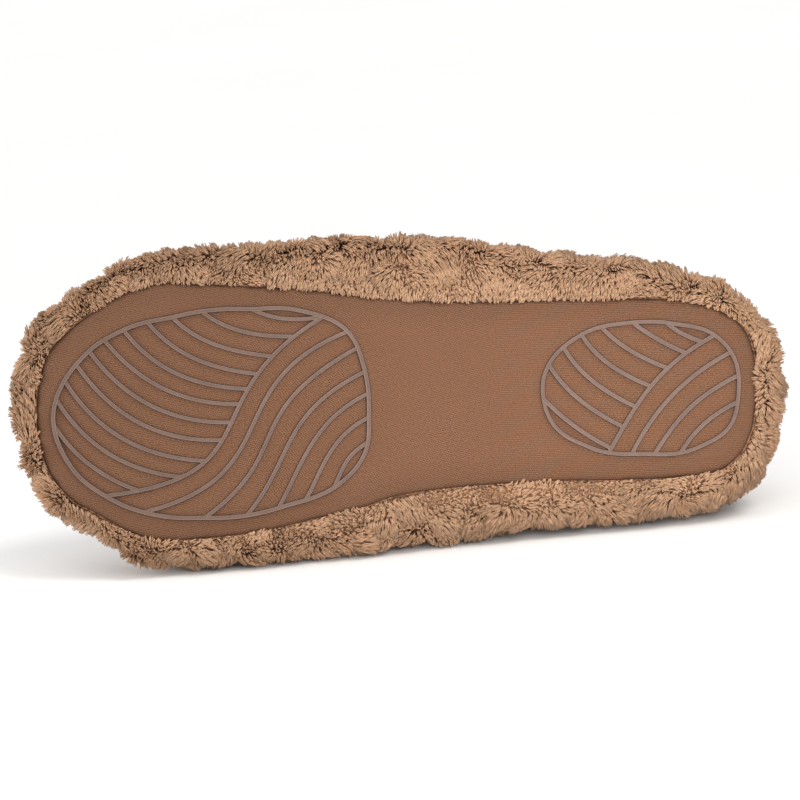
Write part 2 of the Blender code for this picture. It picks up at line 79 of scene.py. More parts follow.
def bezier(start: np.ndarray, leave: np.ndarray, arrive: np.ndarray, end: np.ndarray,
           t: float | np.ndarray) -> np.ndarray:
    """Points of a curve between two points.

    Args:
        start: First point.
        leave: Point that the curve leaves towards.
        arrive: Point that it arrives from.
        end: Last point.
        t: Places on it from 0 to 1.

    Returns:
        One point for each place.
    """
    return ((1 - t) ** 3 * start + 3 * (1 - t) ** 2 * t * leave
            + 3 * (1 - t) * t ** 2 * arrive + t ** 3 * end)


def closed_curve(points: list[tuple[float, ...]], steps: int) -> np.ndarray:
    """Smooth closed curve through points.

    Args:
        points: Places that the curve passes, in order.
        steps: Steps on each span between two of them.

    Returns:
        Points of the curve, the first one again at the end.
    """
    knots = np.array(points, dtype=float)
    count = len(knots)
    t = (np.arange(steps) / steps)[:, None]
    spans = []
    for k in range(count):
        before, start, end, after = (knots[(k + n - 1) % count] for n in range(4))
        spans.append(0.5 * (2 * start + (end - before) * t
                            + (2 * before - 5 * start + 4 * end - after) * t ** 2
                            + (3 * start - before - 3 * end + after) * t ** 3))
    curve = np.vstack(spans)
    return np.vstack([curve, curve[:1]])


def spread(curve: np.ndarray, shares: np.ndarray) -> np.ndarray:
    """Points of a curve at given shares of its length.

    Args:
        curve: Points of the curve.
        shares: Places from 0 to 1.

    Returns:
        One point for each share.
    """
    lengths = np.concatenate(([0.0], np.cumsum(np.linalg.norm(np.diff(curve, axis=0), axis=1))))
    places = np.asarray(shares) * lengths[-1]
    return np.column_stack([np.interp(places, lengths, curve[:, n]) for n in range(curve.shape[1])])


def smooth_read(rows: Table, column: int, places: np.ndarray) -> np.ndarray:
    """Values of a table's column, read along a smooth curve.

    Args:
        rows: Table with the places in its first column.
        column: Column that is read.
        places: Where it is read.

    Returns:
        One value for each place.
    """
    knots = np.array([row[0] for row in rows])
    values = np.array([row[column] for row in rows])
    places = np.asarray(places, dtype=float)
    k = np.clip(np.searchsorted(knots, places) - 1, 0, len(rows) - 2)
    low = np.maximum(np.arange(len(rows)) - 1, 0)
    high = np.minimum(np.arange(len(rows)) + 1, len(rows) - 1)
    slopes = (values[high] - values[low]) / (knots[high] - knots[low])
    width = knots[k + 1] - knots[k]
    t = np.clip((places - knots[k]) / width, 0.0, 1.0)
    return (values[k] * (2 * t ** 3 - 3 * t ** 2 + 1) + values[k + 1] * (3 * t ** 2 - 2 * t ** 3)
            + width * slopes[k] * (t ** 3 - 2 * t ** 2 + t)
            + width * slopes[k + 1] * (t ** 3 - t ** 2))


def straight_read(rows: Table, column: int, places: np.ndarray) -> np.ndarray:
    """Values of a table's column, read along straight lines between its rows.

    Args:
        rows: Table with the places in its first column.
        column: Column that is read.
        places: Where it is read.

    Returns:
        One value for each place.
    """
    return np.interp(places, [row[0] for row in rows], [row[column] for row in rows])


def unit(vectors: np.ndarray) -> np.ndarray:
    """Vectors of length 1 in the same directions."""
    return vectors / np.maximum(np.linalg.norm(vectors, axis=-1, keepdims=True), NO_LENGTH)


def outward(ring: np.ndarray) -> np.ndarray:
    """Unit vectors that point out of a closed ring in plan, square to it."""
    along = unit((np.roll(ring, -1, axis=0) - np.roll(ring, 1, axis=0))[:, :2])
    return np.column_stack([-along[:, 1], along[:, 0]])


def ring_faces(rows: int, columns: int, closed: bool = False) -> np.ndarray:
    """Four-sided faces between rings of vertices that are numbered row by row.

    Args:
        rows: Number of rings.
        columns: Vertices of each ring, which is closed.
        closed: Whether the last ring also joins the first one.

    Returns:
        Vertex numbers, four for each face.
    """
    row = np.arange(rows if closed else rows - 1)[:, None]
    column = np.arange(columns)[None, :]
    following = (column + 1) % columns
    above = (row + 1) % rows
    corners = (row * columns + column, row * columns + following,
               above * columns + following, above * columns + column)
    return np.stack(corners, axis=-1).reshape(-1, 4)


def make_mesh(name: str, vertices: np.ndarray, *faces: np.ndarray) -> bpy.types.Mesh:
    """Smooth-shaded mesh from arrays.

    Args:
        name: Name of the mesh.
        vertices: One point in a row.
        *faces: Arrays of vertex numbers, each for faces of one number of corners.

    Returns:
        The mesh.
    """
    mesh = bpy.data.meshes.new(name)
    corners = np.concatenate([part.reshape(-1) for part in faces]).astype(np.int32)
    sides = np.concatenate([np.full(len(part), part.shape[1]) for part in faces])
    starts = np.concatenate(([0], np.cumsum(sides)[:-1])).astype(np.int32)
    mesh.vertices.add(len(vertices))
    mesh.vertices.foreach_set("co", np.asarray(vertices, dtype=np.float32).reshape(-1))
    mesh.loops.add(len(corners))
    mesh.loops.foreach_set("vertex_index", corners)
    mesh.polygons.add(len(starts))
    mesh.polygons.foreach_set("loop_start", starts)
    mesh.update(calc_edges=True)
    mesh.validate()
    mesh.shade_smooth()
    return mesh


def turn_faces_out(mesh: bpy.types.Mesh) -> None:
    """Turn the faces of closed parts of a mesh outwards.

    Args:
        mesh: Mesh that is changed.
    """
    shape = bmesh.new()
    shape.from_mesh(mesh)
    bmesh.ops.recalc_face_normals(shape, faces=shape.faces)
    shape.to_mesh(mesh)
    shape.free()
    mesh.shade_smooth()


def add_values(mesh: bpy.types.Mesh, name: str, values: np.ndarray) -> None:
    """Keep one number for each vertex in the mesh under a name, for its finish to read.

    Args:
        mesh: Mesh that keeps them.
        name: Name of the attribute.
        values: One number for each vertex.
    """
    layer = mesh.attributes.new(name, "FLOAT", "POINT")
    layer.data.foreach_set("value", np.asarray(values, dtype=np.float32))


def add_object(name: str, data: bpy.types.ID) -> bpy.types.Object:
    """Object in the scene that shows a mesh, a light or a camera.

    Args:
        name: Name of the object.
        data: What it shows.

    Returns:
        The object.
    """
    item = bpy.data.objects.new(name, data)
    bpy.context.scene.collection.objects.link(item)
    return item


def place_piece(name: str, mesh: bpy.types.Mesh, finish: bpy.types.Material,
                stands_for: tuple[str, ...] = ()) -> bpy.types.Object:
    """Put a finished piece on the shoe.

    Args:
        name: Name of the piece.
        mesh: Its mesh, in the row frame.
        finish: Its material.
        stands_for: CAD nodes that it is shown for.

    Returns:
        The piece.
    """
    mesh.materials.append(finish)
    piece = add_object(name, mesh)
    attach(piece, BODY)
    if stands_for:
        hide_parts(*stands_for)
    triangles = sum(len(face.vertices) - 2 for face in mesh.polygons)
    LOG.info("%s: %d vertices, %d triangles", name, len(mesh.vertices), triangles)
    return piece


# Finishes


def linear(colour: Colour) -> tuple[float, float, float, float]:
    """Linear colour with full alpha from an 8-bit sRGB one."""
    r, g, b = (((c / 255 + 0.055) / 1.055) ** 2.4 for c in colour)
    return (r, g, b, 1.0)


class Recipe:
    """Node tree of one material, put together step by step."""

    def __init__(self, name: str, roughness: float, shine: float = 0.25) -> None:
        """Start a material.

        Args:
            name: Name of the material.
            roughness: Roughness of its surface.
            shine: Strength of its highlights.
        """
        self.material = bpy.data.materials.new(name)
        self.material.use_nodes = True
        self.tree = self.material.node_tree
        self.shader = self.tree.nodes["Principled BSDF"]
        self.shader.inputs["Roughness"].default_value = roughness
        self.shader.inputs["Specular IOR Level"].default_value = shine

    def node(self, kind: str, inputs: dict | None = None,
             settings: dict | None = None) -> bpy.types.Node:
        """Add a node.

        Args:
            kind: Blender's name of the node's type.
            inputs: Socket or value for each input, by its name or number.
            settings: Value for each property of the node.

        Returns:
            The node.
        """
        node = self.tree.nodes.new(kind)
        for key, value in (settings or {}).items():
            setattr(node, key, value)
        for key, value in (inputs or {}).items():
            if isinstance(value, bpy.types.NodeSocket):
                self.tree.links.new(value, node.inputs[key])
            else:
                node.inputs[key].default_value = value
        return node

    def math(self, operation: str, *terms: float | bpy.types.NodeSocket) -> bpy.types.NodeSocket:
        """Result of a sum on numbers or sockets.

        Args:
            operation: Blender's name of the operation.
            *terms: Its terms.

        Returns:
            Socket with the result.
        """
        return self.node("ShaderNodeMath", dict(enumerate(terms)),
                         {"operation": operation}).outputs[0]

    def vectors(self, operation: str, inputs: dict) -> bpy.types.NodeSocket:
        """Result of a sum on vectors.

        Args:
            operation: Blender's name of the operation.
            inputs: Socket or value for each input, by its name or number.

        Returns:
            Socket with the result.
        """
        return self.node("ShaderNodeVectorMath", inputs, {"operation": operation}).outputs[0]

    def noise(self, place: bpy.types.NodeSocket, per_metre: float,
              detail: float = 3.0) -> bpy.types.NodeSocket:
        """Soft random value about 0.5.

        Args:
            place: Coordinates in metres.
            per_metre: Number of blots in a metre.
            detail: Number of finer layers.

        Returns:
            Socket with the value.
        """
        return self.node("ShaderNodeTexNoise", {"Vector": place, "Scale": per_metre,
                                                "Detail": detail}).outputs["Fac"]

    def curls(self, place: bpy.types.NodeSocket, per_metre: float) -> bpy.types.NodeSocket:
        """Distance from the middle of the nearest curl, with soft borders between them.

        Args:
            place: Coordinates in metres.
            per_metre: Number of curls in a metre.

        Returns:
            Socket with the distance.
        """
        return self.node("ShaderNodeTexVoronoi", {"Vector": place, "Scale": per_metre},
                         {"feature": "SMOOTH_F1"}).outputs["Distance"]

    def place(self) -> bpy.types.NodeSocket:
        """Coordinates of the surface point in the row frame."""
        return self.node("ShaderNodeTexCoord").outputs["Object"]

    def value(self, name: str) -> bpy.types.NodeSocket:
        """Number that the mesh keeps under a name."""
        return self.node("ShaderNodeAttribute", settings={"attribute_name": name}).outputs["Fac"]

    def blend(self, share: bpy.types.NodeSocket, low: Colour | bpy.types.NodeSocket,
              high: Colour | bpy.types.NodeSocket) -> bpy.types.NodeSocket:
        """Colour between two.

        Args:
            share: Share of the second colour.
            low: First colour.
            high: Second colour.

        Returns:
            Socket with the colour.
        """
        node = self.node("ShaderNodeMix", {0: share}, {"data_type": "RGBA"})
        for socket, colour in ((node.inputs[6], low), (node.inputs[7], high)):
            if isinstance(colour, tuple):
                socket.default_value = linear(colour)
            else:
                self.tree.links.new(colour, socket)
        return node.outputs[2]

    def spread_out(self, socket: bpy.types.NodeSocket, low: float,
                   high: float) -> bpy.types.NodeSocket:
        """Value that goes from 0 to 1 between two values of a socket, and stays within them.

        Args:
            socket: Socket that is read.
            low: Value that gives 0.
            high: Value that gives 1.

        Returns:
            Socket with the value.
        """
        return self.node("ShaderNodeMapRange",
                         {"Value": socket, "From Min": low, "From Max": high}).outputs[0]

    def colour(self, socket: bpy.types.NodeSocket) -> None:
        """Give the surface a colour."""
        self.tree.links.new(socket, self.shader.inputs["Base Color"])

    def bump(self, height: bpy.types.NodeSocket, depth: float) -> None:
        """Give the surface a fine relief.

        Args:
            height: Height from 0 to 1.
            depth: Real height of 1, in metres.
        """
        node = self.node("ShaderNodeBump", {"Height": height, "Distance": depth, "Strength": 1.0})
        self.tree.links.new(node.outputs["Normal"], self.shader.inputs["Normal"])

    def sheen(self, weight: float, roughness: float) -> None:
        """Give the surface the soft edge glow of short fibres.

        Args:
            weight: Strength of the glow.
            roughness: Its spread.
        """
        self.shader.inputs["Sheen Weight"].default_value = weight
        self.shader.inputs["Sheen Roughness"].default_value = roughness


@dataclass(frozen=True)
class PlushFinish:
    """Teddy plush: painted shade darkens each hair's root and a painted highlight pales its tip."""

    # root is the colour of painted shade at a hair's root, tip that of a painted highlight at its
    # tip
    root: Colour = (172, 133, 103)
    body: Colour = (180, 142, 111)
    tip: Colour = (196, 159, 129)
    shade: Colour = (163, 127, 98)
    # shares of a hair's length where the painted root shade ends and the painted tip highlight
    # begins
    root_shade_end: float = 0.55
    tip_highlight_start: float = 0.45
    blots_per_metre: float = 60.0
    blot_range: tuple[float, float] = (0.35, 0.65)
    blot_share: float = 0.25
    roughness: float = 0.85
    sheen: tuple[float, float] = (0.05, 0.5)

    def material(self) -> bpy.types.Material:
        """Make the material of the hairs.

        Returns:
            The material.
        """
        recipe = Recipe("plush_hairs", self.roughness)
        rise, tone = recipe.value("rise"), recipe.value("tone")
        hair = recipe.blend(tone, self.shade, self.body)
        # painted shade: each hair darkens towards its root
        hair = recipe.blend(recipe.spread_out(rise, 0.0, self.root_shade_end), self.root, hair)
        # painted highlight: each hair pales towards its tip, as far as its tone
        pale = recipe.math("MULTIPLY", recipe.spread_out(rise, self.tip_highlight_start, 1.0), tone)
        hair = recipe.blend(pale, hair, self.tip)
        blot = recipe.noise(recipe.place(), self.blots_per_metre)
        blot = recipe.math("MULTIPLY", recipe.spread_out(blot, *self.blot_range), self.blot_share)
        recipe.colour(recipe.blend(blot, hair, self.shade))
        recipe.sheen(*self.sheen)
        return recipe.material


@dataclass(frozen=True)
class BackingFinish:
    """Knitted backing that shows between the locks, and short curly fleece inside the shoe."""

    deep: Colour = (170, 124, 90)
    high: Colour = (190, 143, 107)
    hairs_per_metre: float = 1500.0
    depth: float = 0.0006
    fleece_deep: Colour = (150, 112, 84)
    fleece_high: Colour = (206, 168, 136)
    curls_per_metre: float = 520.0
    # shares of the fine hairs and of the curls in the fleece's height
    hair_share: float = 0.5
    curl_share: float = 0.8
    knit_range: tuple[float, float] = (0.3, 0.7)
    fleece_range: tuple[float, float] = (-0.35, 0.25)
    roughness: float = 0.95
    sheen: tuple[float, float] = (0.2, 0.6)

    def material(self) -> bpy.types.Material:
        """Make the material of the backing and the lining.

        Returns:
            The material.
        """
        recipe = Recipe("plush_backing", self.roughness)
        place, inside = recipe.place(), recipe.value("inside")
        grain = recipe.noise(place, self.hairs_per_metre, 2.0)
        knit = recipe.blend(recipe.spread_out(grain, *self.knit_range), self.deep, self.high)
        curls = recipe.math("MULTIPLY", recipe.curls(place, self.curls_per_metre),
                            -self.curl_share)
        curls = recipe.math("MULTIPLY_ADD", grain, self.hair_share, curls)
        fleece = recipe.blend(recipe.spread_out(curls, *self.fleece_range), self.fleece_deep,
                              self.fleece_high)
        recipe.colour(recipe.blend(inside, knit, fleece))
        height = recipe.math("MULTIPLY_ADD", recipe.math("SUBTRACT", curls, grain), inside, grain)
        recipe.bump(height, self.depth)
        recipe.sheen(*self.sheen)
        return recipe.material


@dataclass(frozen=True)
class WovenFinish:
    """Tight plain-woven textile of the sole, its ribs along the shoe."""

    # dark and light stand for painted shade between the threads and painted light on their crowns
    dark: Colour = (59, 40, 29)
    light: Colour = (138, 97, 71)
    # colour of the textile's own worn blots
    wear_and_highlight: Colour = (107, 73, 52)
    # seam is the colour of a painted shadow line along the sole's edge under the plush, and of the
    # painted shade over the band towards the edge
    seam: Colour = (40, 26, 18)
    rib_pitch: float = 0.00064
    thread_pitch: float = 0.00072
    depth: float = 0.00012
    # slope of the ribs under the ball, and where they begin and end to turn
    slope: float = 0.16
    turning: tuple[float, float] = (0.09, 0.17)
    # how far the threads waver, and how often
    waver: float = 0.00035
    wavers_per_metre: float = 220.0
    # heights of the ribs, the threads across them and the fuzz, as shares of the depth
    rib_height: float = 0.27
    thread_height: float = 0.22
    fuzz_height: float = 1.0
    fuzz_per_metre: float = 1700.0
    blots_per_metre: float = 45.0
    blot_range: tuple[float, float] = (0.35, 0.68)
    blot_share: float = 0.35
    roughness: float = 0.9
    sheen: tuple[float, float] = (0.04, 0.5)

    def material(self) -> bpy.types.Material:
        """Make the material of the sole's textile.

        Returns:
            The material.
        """
        recipe = Recipe("sole_weave", self.roughness)
        place = recipe.node("ShaderNodeUVMap", settings={"uv_map": "plan"}).outputs[0]
        waver = recipe.node("ShaderNodeTexNoise", {"Vector": place, "Scale": self.wavers_per_metre,
                                                   "Detail": 1.0}).outputs["Color"]
        shift = recipe.vectors("SUBTRACT", {0: waver, 1: (0.5, 0.5, 0.5)})
        shift = recipe.vectors("SCALE", {0: shift, "Scale": self.waver})
        place = recipe.vectors("ADD", {0: place, 1: shift})
        axes = recipe.node("ShaderNodeSeparateXYZ", {0: place}).outputs
        turned = recipe.math("MULTIPLY", recipe.spread_out(axes[0], *self.turning), axes[0])
        rib = recipe.math("MULTIPLY_ADD", turned, self.slope, axes[1])
        rib = recipe.math("MULTIPLY", rib, 2 * math.pi / self.rib_pitch)
        turn = recipe.math("MULTIPLY", axes[0], 2 * math.pi / self.thread_pitch)
        wave = recipe.math("SINE", rib)
        half = recipe.math("MULTIPLY", rib, 0.5)
        cross = recipe.math("MULTIPLY", recipe.math("SINE", turn), recipe.math("SINE", half))
        height = recipe.math("MULTIPLY_ADD", wave, self.rib_height, 0.5)
        height = recipe.math("MULTIPLY_ADD", cross, self.thread_height, height)
        fuzz = recipe.math("SUBTRACT", recipe.noise(place, self.fuzz_per_metre, 2.0), 0.5)
        height = recipe.math("MULTIPLY_ADD", fuzz, self.fuzz_height, height)
        # paler on the threads' crowns and darker between them: painted light and painted shade of
        # the weave's relief
        cloth = recipe.blend(recipe.spread_out(height, 0.0, 1.0), self.dark, self.light)
        blot = recipe.spread_out(recipe.noise(place, self.blots_per_metre), *self.blot_range)
        cloth = recipe.blend(recipe.math("MULTIPLY", blot, self.blot_share), cloth, self.wear_and_highlight)
        # the mesh's edge value blends in painted shade towards the sole's edge and a painted shadow
        # line right at it
        recipe.colour(recipe.blend(recipe.value("edge"), cloth, self.seam))
        recipe.bump(height, self.depth)
        recipe.sheen(*self.sheen)
        return recipe.material


@dataclass(frozen=True)
class PrintFinish:
    """Raised rubber print of the grips, matt and faintly grained."""

    # foot is the colour of a painted shadow along the sides of each line
    foot: Colour = (44, 30, 24)
    dark: Colour = (88, 68, 59)
    light: Colour = (107, 84, 73)
    # rim is the colour of a painted highlight on the lines' shoulders
    rim: Colour = (138, 111, 97)
    grains_per_metre: float = 1800.0
    depth: float = 0.00005
    blots_per_metre: float = 90.0
    # shares of the blots and of the grain in the tone
    blot_share: float = 0.6
    grain_share: float = 0.4
    tone_range: tuple[float, float] = (0.35, 0.65)
    # shares of a line's height where its painted foot shadow ends, and its painted highlight begins
    foot_shadow_end: float = 0.7
    highlight_start: float = 0.88
    highlight_share: float = 0.7
    roughness: float = 0.58
    shine: float = 0.4

    def material(self) -> bpy.types.Material:
        """Make the material of the grips.

        Returns:
            The material.
        """
        recipe = Recipe("grip_rubber", self.roughness, self.shine)
        place = recipe.place()
        grain = recipe.noise(place, self.grains_per_metre, 2.0)
        blot = recipe.noise(place, self.blots_per_metre)
        mixed = recipe.math("MULTIPLY_ADD", blot, self.blot_share,
                            recipe.math("MULTIPLY", grain, self.grain_share))
        rubber = recipe.blend(recipe.spread_out(mixed, *self.tone_range), self.dark, self.light)
        rise = recipe.value("rise")
        # painted highlight on the shoulders of each line
        wear_and_highlight = recipe.math("MULTIPLY", recipe.spread_out(rise, self.highlight_start, 1.0),
                           self.highlight_share)
        rubber = recipe.blend(wear_and_highlight, rubber, self.rim)
        # painted shadow along the foot of each line
        foot = recipe.spread_out(rise, 0.0, self.foot_shadow_end)
        recipe.colour(recipe.blend(foot, self.foot, rubber))
        recipe.bump(grain, self.depth)
        return recipe.material


@dataclass(frozen=True)
class FleeceFinish:
    """Short curly fleece of the footbed."""

    deep: Colour = (140, 108, 84)
    high: Colour = (206, 178, 150)
    curls_per_metre: float = 520.0
    hairs_per_metre: float = 2600.0
    depth: float = 0.0009
    # shares of the curls, the hairs and the blots in the tone
    curl_share: float = 0.7
    hair_share: float = 0.5
    blot_share: float = 0.5
    blots_per_metre: float = 70.0
    tone_range: tuple[float, float] = (0.55, 1.15)
    roughness: float = 0.95
    sheen: tuple[float, float] = (0.35, 0.5)

    def material(self) -> bpy.types.Material:
        """Make the material of the fleece.

        Returns:
            The material.
        """
        recipe = Recipe("footbed_fleece", self.roughness)
        place = recipe.place()
        curls = recipe.math("SUBTRACT", 1.0, recipe.curls(place, self.curls_per_metre))
        hairs = recipe.noise(place, self.hairs_per_metre)
        height = recipe.math("MULTIPLY_ADD", hairs, self.hair_share,
                             recipe.math("MULTIPLY", curls, self.curl_share))
        blot = recipe.math("MULTIPLY_ADD", recipe.noise(place, self.blots_per_metre),
                           self.blot_share, height)
        recipe.colour(recipe.blend(recipe.spread_out(blot, *self.tone_range), self.deep, self.high))
        recipe.bump(height, self.depth)
        recipe.sheen(*self.sheen)
        return recipe.material


@dataclass(frozen=True)
class CordFinish:
    """Twisted cord that is sewn in along the sole's edge."""

    dark: Colour = (78, 52, 36)
    light: Colour = (150, 108, 78)
    strands_per_metre: float = 900.0
    tone_range: tuple[float, float] = (0.35, 0.65)
    depth: float = 0.0002
    roughness: float = 0.8

    def material(self) -> bpy.types.Material:
        """Make the material of the cord.

        Returns:
            The material.
        """
        recipe = Recipe("edge_cord", self.roughness)
        grain = recipe.noise(recipe.place(), self.strands_per_metre)
        tone = recipe.spread_out(grain, *self.tone_range)
        recipe.colour(recipe.blend(tone, self.dark, self.light))
        recipe.bump(grain, self.depth)
        return recipe.material


# The shoe's shape


@dataclass(frozen=True)
class SolePlan:
    """Outline of the sole and the sweep of its underside."""

    length: float = 0.248
    ball_width: float = 0.0884
    toe_spring: float = 0.010
    arch_rise: float = 0.0013
    heel_roll: float = 0.001
    heel_roll_end: float = 0.07
    arch: tuple[float, float] = (0.30, 0.54)
    spring_start: float = 0.64
    span_steps: int = 16
    heel_end: tuple[float, float] = (0.000, 0.030)
    toe_end: tuple[float, float] = (1.000, -0.030)
    # place along as a share of the length, half widths to the outer and the inner side as shares
    # of the ball width
    sections: Table = (
        (0.0125, 0.217, 0.183), (0.047, 0.303, 0.301), (0.10, 0.350, 0.332),
        (0.18, 0.365, 0.339), (0.30, 0.367, 0.336), (0.41, 0.372, 0.348),
        (0.50, 0.390, 0.374), (0.55, 0.407, 0.416), (0.62, 0.437, 0.457),
        (0.70, 0.455, 0.501), (0.80, 0.477, 0.5225), (0.84, 0.467, 0.518),
        (0.88, 0.435, 0.475), (0.925, 0.357, 0.400), (0.95, 0.305, 0.363),
        (0.978, 0.230, 0.274), (0.994, 0.120, 0.170),
    )

    def lift(self, along: np.ndarray) -> np.ndarray:
        """Height of the underside over the plane that the sole stands on.

        Args:
            along: Places along the sole.

        Returns:
            One height for each place.
        """
        share = np.asarray(along, dtype=float) / self.length
        heel = self.heel_roll * (np.clip(self.heel_roll_end - share, 0, None)
                                 / self.heel_roll_end) ** 2
        toe = self.toe_spring * (np.clip(share - self.spring_start, 0, None)
                                 / (1 - self.spring_start)) ** 2
        start, end = self.arch
        turn = np.clip((share - start) / (end - start), 0, 1) * math.pi
        return heel + toe + self.arch_rise * np.sin(turn) ** 2

    def two_sides(self, heel: tuple[float, ...], outer: list[tuple[float, ...]],
                  inner: list[tuple[float, ...]], toe: tuple[float, ...],
                  shares: np.ndarray) -> np.ndarray:
        """Ring of columns from the heel along the outer side to the toe, and back on the inner.

        Args:
            heel: Point at the heel.
            outer: Points of the outer side, from heel to toe.
            inner: Points of the inner side, from heel to toe.
            toe: Point at the toe.
            shares: Places of the columns of one side, from 0 at the heel to 1 at the toe.

        Returns:
            One point for each column.
        """
        ring = closed_curve([heel, *outer, toe, *reversed(inner)], self.span_steps)
        turn = self.span_steps * (len(outer) + 1)
        first = spread(ring[:turn + 1], shares)
        second = spread(ring[turn:][::-1], shares)[::-1]
        return np.vstack([first[:-1], second[:-1]])

    def ring(self, columns: int) -> np.ndarray:
        """Edge of the sole in plan.

        Args:
            columns: Number of points.

        Returns:
            One point for each column.
        """
        def point(along: float, across: float) -> tuple[float, float]:
            """Point at shares of the length and of the ball width."""
            return along * self.length, across * self.ball_width

        outer = [point(along, wide) for along, wide, _ in self.sections]
        inner = [point(along, -wide) for along, _, wide in self.sections]
        return self.two_sides(point(*self.heel_end), outer, inner, point(*self.toe_end),
                              np.linspace(0, 1, columns // 2 + 1))


@dataclass(frozen=True)
class LyingPose:
    """Where the upright shoe's axes and origin are in the row frame."""

    axes: np.ndarray
    origin: np.ndarray

    @classmethod
    def of_model(cls, plan: SolePlan, columns: int = 72) -> "LyingPose":
        """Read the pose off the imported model.

        Args:
            plan: Outline of the sole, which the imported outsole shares.
            columns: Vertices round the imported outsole.

        Returns:
            The pose.
        """
        mount = next(m for m in frame["record"]["mounts"] if m["name"] == "sole_tread")
        up = -unit(np.array(mount["axis"], dtype=float))
        toe = unit(np.array((up[2], 0.0, -up[0])))
        axes = np.array((toe, np.cross(up, toe), up))
        mesh = frame["nodes"]["outsole"].data
        points = np.zeros(len(mesh.vertices) * 3)
        mesh.vertices.foreach_get("co", points)
        low = (points.reshape(-1, 3) @ axes.T).min(axis=0)
        ring = plan.ring(columns)
        start = np.array((ring[:, 0].min(), ring[:, 1].min(), 0.0))
        return cls(axes, (low - start) @ axes)

    def place(self, points: np.ndarray) -> np.ndarray:
        """Points of the upright shoe in the row frame."""
        return points @ self.axes + self.origin

    def turn(self, vector: tuple[float, float, float]) -> Vector:
        """Direction on the upright shoe in the row frame."""
        return Vector(np.array(vector) @ self.axes)


@dataclass(frozen=True)
class UpperShape:
    """Shape of the upper from the seam at the sole up to the collar."""

    plan: SolePlan
    wall: float = 0.007
    seam_height: float = 0.001
    girth_height: float = 0.0105
    plush_roll: float = 0.0219
    heel_height: float = 0.058
    side_height: float = 0.0445
    throat_height: float = 0.050
    topline_width: float = 0.088
    topline_shift: float = 0.0015
    heel_lean: float = 0.003
    vamp_length: float = 0.086
    clearance: float = 0.0003
    leave: float = 0.82
    leave_fall: float = 0.26
    reach: float = 0.45
    arrive: float = 0.22
    # how much wider the collar's columns stand at the heel
    heel_stretch: float = 0.5
    # place along the sole, reach of the plush past its edge on the outer and the inner side
    roll: Table = (
        (0.000, 0.390, 0.390), (0.020, 0.300, 0.410), (0.060, 0.380, 0.500),
        (0.130, 0.500, 0.570), (0.240, 0.685, 0.700), (0.350, 0.900, 0.770),
        (0.460, 1.000, 0.845), (0.570, 0.895, 0.700), (0.680, 0.695, 0.540),
        (0.790, 0.540, 0.430), (0.900, 0.430, 0.340), (0.955, 0.430, 0.300),
        (0.985, 0.400, 0.280), (1.000, 0.340, 0.300),
    )
    # place from heel to throat, half widths to both sides, rise to the heel's and throat's height
    collar: Table = (
        (0.000, 0.000, 0.000, 1.00, 0.00), (0.020, 0.170, 0.170, 0.97, 0.00),
        (0.075, 0.320, 0.315, 0.80, 0.00), (0.180, 0.440, 0.430, 0.42, 0.00),
        (0.330, 0.500, 0.490, 0.10, 0.00), (0.500, 0.515, 0.500, 0.00, 0.00),
        (0.680, 0.490, 0.485, 0.00, 0.15), (0.830, 0.410, 0.420, 0.00, 0.48),
        (0.930, 0.280, 0.290, 0.00, 0.80), (0.985, 0.130, 0.140, 0.00, 0.97),
        (1.000, 0.000, 0.000, 0.00, 1.00),
    )

    def collar_ring(self, columns: int) -> np.ndarray:
        """Outer edge of the collar.

        Args:
            columns: Number of points.

        Returns:
            One point in space for each column.
        """
        throat = self.plan.length - self.vamp_length

        def point(row: tuple[float, ...], side: float = 1) -> tuple[float, float, float]:
            """Point of the collar.

            Args:
                row: Row of the collar's table.
                side: 1 for the outer side, -1 for the inner side.

            Returns:
                The point.
            """
            along, outer, inner, heel_rise, throat_rise = row
            half = outer if side > 0 else inner
            return (self.heel_lean + along * (throat - self.heel_lean),
                    self.topline_shift + side * half * self.topline_width,
                    self.side_height + heel_rise * (self.heel_height - self.side_height)
                    + throat_rise * (self.throat_height - self.side_height))

        shares = np.linspace(0, 1, columns // 2 + 1)
        shares = shares + self.heel_stretch * np.sin(math.pi * shares) / math.pi
        return self.plan.two_sides(point(self.collar[0]),
                                   [point(row) for row in self.collar[1:-1]],
                                   [point(row, -1) for row in self.collar[1:-1]],
                                   point(self.collar[-1]), shares)

    def reaches(self, edge: np.ndarray) -> np.ndarray:
        """Reach of the plush past the sole's edge.

        Args:
            edge: Points of the edge, one for each column.

        Returns:
            One reach for each column.
        """
        share = edge[:, 0] / self.plan.length
        outer = np.arange(len(edge)) <= len(edge) // 2
        return self.plush_roll * np.where(outer, smooth_read(self.roll, 1, share),
                                          smooth_read(self.roll, 2, share))

    def skin(self, levels: np.ndarray, columns: int) -> np.ndarray:
        """Outer face of the upper.

        Args:
            levels: Heights on it: 0 at the seam, 1 at the girth and 2 at the collar.
            columns: Points round the shoe.

        Returns:
            One ring of points for each level.
        """
        edge = self.plan.ring(columns)
        away = outward(edge)
        reach = self.reaches(edge)
        base = self.plan.lift(edge[:, 0])
        collar = self.collar_ring(columns)

        def lower(angle: float) -> np.ndarray:
            """Ring of the roll between the seam and the girth.

            Args:
                angle: Angle on the roll in radians, 0 at the seam.

            Returns:
                One point for each column.
            """
            out = self.clearance + (reach - self.clearance) * math.sin(angle)
            height = self.girth_height - (self.girth_height - self.seam_height) * math.cos(angle)
            return np.column_stack([edge + out[:, None] * away, base + height])

        girth = lower(0.5 * math.pi)
        span = collar - girth
        flat = span * (1, 1, 0)
        rise = span[:, 2:]
        steep = rise / (rise + np.linalg.norm(flat, axis=1, keepdims=True))
        up = np.array((0.0, 0.0, 1.0))
        leave = girth + up * (self.leave - self.leave_fall * steep) * rise
        arrive = collar - self.reach * flat - up * self.arrive * steep * rise
        rows = []
        for level in levels:
            if level <= 1:
                rows.append(lower(0.5 * math.pi * level))
            else:
                rows.append(bezier(girth, leave, arrive, collar, level - 1))
        return np.array(rows)


